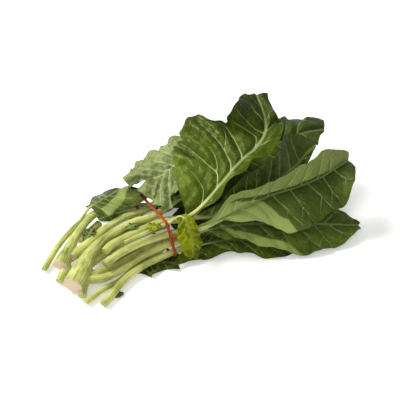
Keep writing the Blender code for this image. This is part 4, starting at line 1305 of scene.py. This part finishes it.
# The leaves over the tie
# Thin green blades on a pale rib go on from their stalks beyond the tie. Each lies on those before it:
# low ones at the near and the far side, the hidden and the dark one of the two plants, the crumpled one
# that lies face down, the tall one, the two large ones on top and the small yellow one.
upper_blades = {
    "front_low": dict(
        left=[
            (3, 10, 0, -10), (14, 10, 0, 0), (26, 12, 0, 0), (34, 12, 0, 5), (34, 12, 0, 15),
            (26, 12, 0, 25), (4, 10, 0, 50),
        ],
        right=[
            (3, 0, 0, -10), (14, 20, -60, 0), (24, 12, -50, -5), (32, 5, -60, -5),
            (42, -5, -45, -5), (38, -8, -30, 5), (24, -5, -20, 20), (4, 0, 0, 50),
        ],
        ruffle=(2.6, 5, 0.1),
        coarse=(16, 4),
        fine=(160, 90),
        veins=(8, 0.05, 0.85, 0.10),
        relief=1.2,
        turned=[
            (
                [0.18, 0.26, 0.36, 0.46, 0.54, 0.61],
                [-0.2, -0.9, -1.1, -1.1, -1.1, -1.1],
                [0.4, -0.46, -0.56, -0.66, -0.69, -0.96],
            )
        ],
        under=("near_leaf", "small_yellow_leaf"),
    ),
    "far": dict(
        left=[
            (3, 0, 0, -10), (20, -10, -10, 0), (26, -15, -20, 0), (26, -15, -20, 10),
            (20, -10, -10, 30), (4, 0, 0, 50),
        ],
        right=[
            (3, 0, 0, -10), (20, 10, 0, 0), (26, 10, 0, 0), (26, 10, 0, 10), (20, 5, 0, 30),
            (4, 0, 0, 50),
        ],
        ruffle=(2.4, 4, 0.9),
        coarse=(12, 3),
        fine=(110, 60),
        veins=(7, 0.06, 0.8, 0.10),
        relief=0.9,
    ),
    "far_side": dict(
        left=[(7, 0, -10, -45), (13, 0, -20, -25), (26, 0, -20, 8), (19, 0, -10, 3), (4, 0, 0, 0)],
        right=[(15, 0, -10, 6), (31, 5, -20, 0), (32, 5, -20, 6), (43, 5, 0, 3), (38, 0, 0, 11)],
        ruffle=(1.6, 2, 0.2),
        coarse=(8, 2),
        fine=(60, 50),
        veins=(4, 0.1, 0.7, 0.15),
        turned=[
            (
                [0.2, 0.38, 0.58, 0.84, 1],
                [-1.0, -0.89, -0.76, -0.49, -0.45],
                [-0.43, -0.40, -0.29, -0.17, -0.15],
            )
        ],
        relief=0.8,
    ),
    "back_hidden": dict(
        left=[
            (3, 0, 0, -10), (28, 5, -10, -5), (38, 5, -20, 0), (40, 0, -20, 10), (28, 0, -10, 30),
            (4, 0, 0, 50),
        ],
        right=[
            (3, 0, 0, -10), (26, 8, 0, -5), (34, 8, 0, 0), (36, 8, 0, 10), (26, 5, 0, 30),
            (4, 0, 0, 50),
        ],
        ruffle=(2.6, 4, 0.4),
        coarse=(11, 3),
        fine=(120, 70),
        veins=(7, 0.06, 0.8, 0.10),
        relief=0.9,
    ),
    "front_main": dict(
        left=[
            (3, 0, 0, -10), (24, 5, 0, 0), (34, 8, 0, 0), (36, 12, 0, 0), (36, 24, -10, 22),
            (41, 30, -70, 16), (21, 0, 0, 27),
        ],
        right=[
            (3, 0, 0, -10), (20, -5, -10, 0), (34, -8, -20, 0), (42, -10, -25, 3),
            (44, -8, -25, 8), (32, -5, -20, 0), (16, 0, 0, -29),
        ],
        ruffle=(2.8, 5, 0.6),
        coarse=(14, 3),
        fine=(170, 80),
        veins=(9, 0.05, 0.88, 0.08),
        relief=1.9,
        fringe=1.8,
        notches=[
            (1, 0.80, 0.05, 0.10), (1, 0.91, 0.04, 0.12), (-1, 0.86, 0.05, 0.10),
            (-1, 0.72, 0.04, 0.08),
        ],
        # Darker towards the tip: painted shade.
        tones=[(0, 0, 0), (0, 0, 0), (0, 0, 0), (-0.3, -0.2, 0), (-0.6, -0.3, -0.2)],
    ),
    "back_crumpled": dict(
        left=[
            (38, 8, -30, -80), (57, 8, -34, -60), (59, 6, -34, -34), (62, 4, -34, -15),
            (55, 4, -24, -4), (24, 0, 0, 19),
        ],
        right=[
            (37, 8, -10, -80), (61, 8, -14, -57), (80, 9, -14, -38), (66, 10, -14, -40),
            (32, 8, -10, 10), (6, 0, 0, 50),
        ],
        ruffle=(2.4, 5, 0.2),
        coarse=(14, 4),
        fine=(110, 120),
        veins=(6, 0.04, 0.8, 0.08),
        relief=2.8,
        crumple_size=6.5,
        fringe=1.2,
    ),
    "front_tall": dict(
        left=[
            (3, 50, 0, 0), (10, 78, 0, 0), (27, 82, 0, 0), (34, 78, 0, 0), (33, 80, 0, 0),
            (42, 52, 0, 5), (5, 30, 0, 40),
        ],
        right=[
            (3, -40, 0, 0), (4, -60, 0, 0), (5, -60, 0, 0), (6, -60, 0, 0), (9, -60, 0, 0),
            (10, -60, 0, 0), (3, -20, 0, 0),
        ],
        ruffle=(1.4, 4, 0.5),
        coarse=(15, 3),
        fine=(170, 60),
        veins=(10, 0.05, 0.9, 0.06),
        relief=0.7,
        under=("top_leaf", "near_leaf", "small_yellow_leaf"),
    ),
    "top": dict(
        left=[
            (4, 24, 0, 0), (63, 17, -20, -4), (75, 16, -22, -5), (92, 16, -22, -3),
            (103, 17, -26, 3), (102, 18, -28, 9), (103, 18, -26, 11), (76, 20, -20, 1.9),
            (53, 22, -10, 3), (55, 24, 0, 17), (45, 22, 0, 24), (27, 10, 0, 48), (6, 0, 0, 26),
        ],
        right=[
            (4, -10, 0, 0), (7, -40, 0, 0), (8, -45, 0, 0), (9, -45, 0, 0), (10, -45, 0, 0),
            (12, -42, 0, 0), (14, -38, 0, 0), (20, -30, 0, 5), (24, -26, 0, 10), (24, -14, 0, 20),
            (16, 0, 0, -0.2), (13, 0, 0, -5), (13, 0, 0, 0.3),
        ],
        ruffle=(3.0, 5, 0.0),
        coarse=(20, 6),
        fine=(190, 140),
        # Fresher at the base and the left margin, its own tone; the right half is also painted lighter as
        # painted light, where it turns down away from the lamps.
        tones=[
            (1.3, 0.4, 0.6), (1.5, 0.4, 1.0), (0.75, 0.35, 1.4), (0.45, 0.3, 1.5), (0.3, 0.1, 0.9),
            (0.0, -0.2, 0.0), (-0.1, -0.2, -0.1),
        ],
        traced=[
            ([0.10, 0.17, 0.20, 0.21], [0, 0.20, 0.45, 0.72], 0.6),
            ([0.21, 0.30, 0.312, 0.319, 0.322], [0, 0.175, 0.388, 0.625, 0.90], 0.85),
            ([0.30, 0.35, 0.381, 0.40, 0.405], [0.175, 0.263, 0.375, 0.55, 0.85], 0.6),
            ([0.33, 0.394, 0.431, 0.45, 0.463, 0.472], [0, 0.125, 0.288, 0.438, 0.625, 0.86], 0.85),
            ([0.431, 0.50, 0.54, 0.57], [0.288, 0.40, 0.60, 0.84], 0.45),
            ([0.431, 0.488, 0.519, 0.556, 0.61], [0, 0.125, 0.275, 0.50, 0.84], 0.8),
            ([0.56, 0.631, 0.663, 0.688, 0.70], [0, 0.137, 0.375, 0.70, 0.86], 0.7),
            ([0.68, 0.706, 0.738, 0.763, 0.79], [0, 0.263, 0.463, 0.638, 0.84], 0.65),
            ([0.78, 0.82, 0.86, 0.88], [0, 0.25, 0.50, 0.74], 0.5),
            ([0.86, 0.90, 0.93], [0, 0.30, 0.60], 0.4),
            ([0.30, 0.33, 0.35], [0, -0.4, -0.8], 0.5),
            ([0.44, 0.48, 0.50], [0, -0.4, -0.8], 0.5),
            ([0.57, 0.62, 0.65], [0, -0.4, -0.85], 0.5),
            ([0.69, 0.74, 0.78], [0, -0.4, -0.85], 0.55),
            ([0.80, 0.85, 0.89], [0, -0.4, -0.8], 0.45),
        ],
        relief=2.1,
        crumple_size=9.0,
        fringe=1.3,
        # A fold in from the margin, sunk into the blade and painted darker as painted shade.
        fold=([0.45, 0.7, 1.0], [0.305, 0.285, 0.265], 0.016, 4.0),
        notches=[
            (1, 0.165, 0.03, 0.07), (1, 0.30, 0.02, 0.05), (1, 0.345, 0.03, 0.06),
            (1, 0.655, 0.03, 0.08),
        ],
    ),
    "near": dict(
        left=[
            (3, 70, 0, 0), (13, 80, 0, -77), (29, 84, 0, -58), (20, 86, 0, -24), (26, 84, 0, -50),
            (31, 78, 0, -57), (34, 70, 0, -15), (24, 60, 0, 9), (10, 30, 0, 30),
        ],
        right=[
            (3, -20, 0, -10), (4, -20, -40, 6), (17, -14, -45, -18), (36, -12, -40, -19),
            (59, -10, -42, -9), (53, -8, -42, -16), (53, -6, -34, -27), (47, 0, -10, -22),
            (16, 0, 0, -13),
        ],
        ruffle=(2.4, 5, 0.2),
        coarse=(20, 5),
        fine=(190, 110),
        veins=(8, 0.1, 0.88, 0.10),
        # The pale turned zones here are partly the leaf's pale side and partly painted light: the band
        # along the half that stands up from the rib, and the base of the other half.
        turned=[
            (
                [0, 0.23, 0.32, 0.44, 0.51, 0.67, 0.78, 1],
                [1, 0.66, 0.41, 0.24, 0.15, 0.15, 0.04, 0.1],
                [1.1] * 8,
            ),
            (
                [0, 0.16, 0.25, 0.34, 0.38, 0.43, 0.47, 0.51],
                [-1.1] * 8,
                [1.1, 1, 0.45, 0.11, -0.29, -0.59, -0.68, -1.05],
            ),
        ],
        # Darker over the standing half and lighter at the base of the other half: painted shade and painted
        # light.
        tones=[(-1, 1, 1), (-1, 1, 1), (-1, 0.5, 1), (-1, 0, 0.6), (-1, 0, 0), (-1, 0, 0), (-1, 0, 0)],
        relief=1.1,
    ),
    "yellow": dict(
        left=[(3, 0, -10, 0), (9, 0, -20, 10), (14, 0, -30, 10), (12, 0, -30, 10), (4, 0, 0, 30)],
        right=[(3, 0, -10, 0), (12, 0, -20, 0), (15, 0, -30, 0), (13, 0, -30, 0), (4, 0, 0, 30)],
        ruffle=(1.4, 3, 0.4),
        coarse=(10, 2),
        fine=(80, 50),
        veins=(5, 0.1, 0.8, 0.12),
        relief=2.4,
        crumple_size=5.5,
        fringe=2.2,
    ),
}

dark_upper = leaf_material(
    "dark_leaf_upper", (0.019, 0.037, 0.003), (0.048, 0.080, 0.008), UPPER_VEIN, veins=0.3
)
top_upper = leaf_material(
    "top_leaf_upper",
    (0.009, 0.019, 0.0008), (0.048, 0.084, 0.0012),
    UPPER_VEIN,
    rough=0.31,
    veins=0.75,
    patches=0.3,
)
top_under = leaf_material("top_leaf_under", **PALE_UNDER)
# Its turned colour is also the painted light on the near leaf's band and on the base of its other half.
near_upper = leaf_material(
    "near_leaf_upper",
    (0.026, 0.048, 0.006), (0.062, 0.100, 0.014),
    UPPER_VEIN,
    turned=(0.25, 0.31, 0.085),
    veins=0.5,
)
dark_under = leaf_material(
    "dark_leaf_under", (0.030, 0.046, 0.010), (0.075, 0.105, 0.028), UPPER_VEIN, veins=0.3
)
# The tall leaf's greens are painted darker than its own colour: painted shade, where it lies between the
# dark front leaf and the near leaf.
tall_shaded_upper = leaf_material(
    "tall_leaf_upper_shaded", (0.016, 0.029, 0.003), (0.066, 0.102, 0.009), UPPER_VEIN, veins=0.3, patches=0.8
)
curled_upper = leaf_material(
    "curled_leaf_upper",
    (0.030, 0.054, 0.006), (0.105, 0.158, 0.014),
    UPPER_VEIN,
    turned=(0.26, 0.32, 0.08),
    veins=0.4,
)
grey_under = leaf_material(
    "crumpled_leaf_under",
    (0.115, 0.15, 0.042), (0.30, 0.35, 0.15), (0.38, 0.43, 0.22),
    rough=0.5,
    net=0.3,
    raised=1.0,
)
yellow_face = leaf_material(
    "yellow_leaf_face", (0.08, 0.11, 0.001), (0.31, 0.35, 0.002), (0.36, 0.40, 0.08), veins=0.3
)

olive_rib = stalk_material("olive_rib", rib=(0.13, 0.17, 0.04))
dark_rib = stalk_material("dark_rib", rib=(0.035, 0.055, 0.010))
rib_skins = {"near": olive_rib, "front_low": olive_rib, "front_main": dark_rib, "front_tall": dark_rib}

leaf_looks = {
    "front_low": (curled_upper, low_under, "stalks_and_leaves"),
    "far": (dark_upper, low_under, "low_leaves"),
    "far_side": (dark_upper, low_under, "low_leaves"),
    "back_hidden": (dark_upper, low_under, "stalks_and_leaves"),
    "front_main": (dark_upper, dark_under, "stalks_and_leaves"),
    "back_crumpled": (grey_under, dark_upper, "stalks_and_leaves"),
    "front_tall": (tall_shaded_upper, dark_under, "stalks_and_leaves"),
    "top": (top_upper, top_under, "top_leaf"),
    "near": (near_upper, low_under, "near_leaf"),
    "yellow": (yellow_face, yellow_face, "yellow_leaf"),
}
own_stalk = ("far", "far_side", "top", "near", "yellow")

node_of = {name: line["node"] for name, line in upper_lines.items()}
for seed, (key, blade) in enumerate(upper_blades.items()):
    leaf = upper_lines[key]
    leaf.update(blade)
    nodes_above = leaf.get("under", ())
    others = [
        heights
        for name, heights in pile_stalks.items()
        if name != key and node_of.get(name) not in nodes_above
    ]
    heights_below = np.max([pile_blades, tie_heights] + others, axis=0)
    pile_stalks[key], blade_heights = lay_blade(leaf, heights_below)
    pile_blades = np.maximum(pile_blades, blade_heights)
    upper, under, slot_name = leaf_looks[key]
    first_x = None if key in own_stalk else TIE_X - TIE_OVERLAP
    made = [add_blade(key + "_blade", leaf, upper, under, seed + 4)]
    made.append(add_leaf_tube(key + "_rib", leaf, rib_skins.get(key, stalk_skin), first_x))
    finish_piece(joined(key + "_leaf_piece", made), slot_name, leaf["node"])


# The scraps
# Torn bits of leaf, dark green among the cut ends and yellow beside the tie, and three limp dark ones that
# lie flat on the table under the stalks and darken the gaps there as painted shade. Nothing fixes them but
# the stalks round and over them.
NO_LIFT = np.zeros(MAP_SHAPE)
SCRAP_SEED = 20
SCRAP_HALF = [(0.3, 20, -30, 0), (1, 30, -60, 10), (0.9, 10, -50, -10), (0.3, 0, 0, 20)]
SCRAPS = [
    ("dark_scrap", dark_upper, 6.0, 1.6, [(-98, -6, 31), (-93, -7, 37), (-87, -9, 40), (-81, -11, 42)]),
    ("far_scrap", dark_upper, 8.0, 1.6, [(-146, 12, 15), (-138, 17, 20), (-130, 22, 24), (-122, 26, 27)]),
    (
        "low_scrap", dark_upper, 7.0, 0.4,
        [(-148, -54, 1.8), (-142, -61, 1.8), (-137, -68, 1.8), (-132, -73, 1.8)],
    ),
    (
        "tie_scrap", yellow_face, 7.0, 1.6,
        [(-80, -20, 38), (-73, -22, 42.4), (-66, -26, 43.4), (-58, -31, 42.6)],
    ),
    ("side_scrap", yellow_face, 7.0, 1.6, [(-44, -34, 44), (-40, -41, 46), (-34, -46, 45), (-27, -50, 41)]),
    # The three floor scraps are dark leaf that also darkens the gaps under the stalks: painted shade.
    (
        "middle_floor_shade_scrap", dark_upper, 16.0, 0.3,
        [(-158, -22, 1.6), (-126, -20, 1.6), (-94, -12, 1.6), (-62, -4, 1.6)],
    ),
    (
        "far_floor_shade_scrap", dark_upper, 18.0, 0.3,
        [(-132, 60, 1.6), (-98, 67, 1.6), (-62, 66, 1.6), (-20, 54, 1.6)],
    ),
    (
        "tie_floor_shade_scrap", dark_upper, 12.0, 0.3,
        [(-46, 52, 1.6), (-30, 50, 1.6), (-14, 49, 1.6), (4, 50, 1.6)],
    ),
]

scraps = []
for seed, (name, face, width, relief, stations) in enumerate(SCRAPS):
    half = [(share * width, *turns) for share, *turns in SCRAP_HALF]
    scrap = dict(
        stalk=[(*stations[0], 1.0)],
        rib=stations[1:],
        left=half,
        right=half[::-1],
        ruffle=(relief, 3, 0.2 * seed),
        fine=(40, 30),
        veins=(3, 0.1, 0.7, 0.15),
        relief=relief,
        crumple_size=4.0,
        fringe=2.0,
        lift=NO_LIFT,
    )
    scraps.append(add_blade(name, scrap, face, face, seed + SCRAP_SEED))
finish_piece(joined("scraps", scraps), "yellow_leaf")
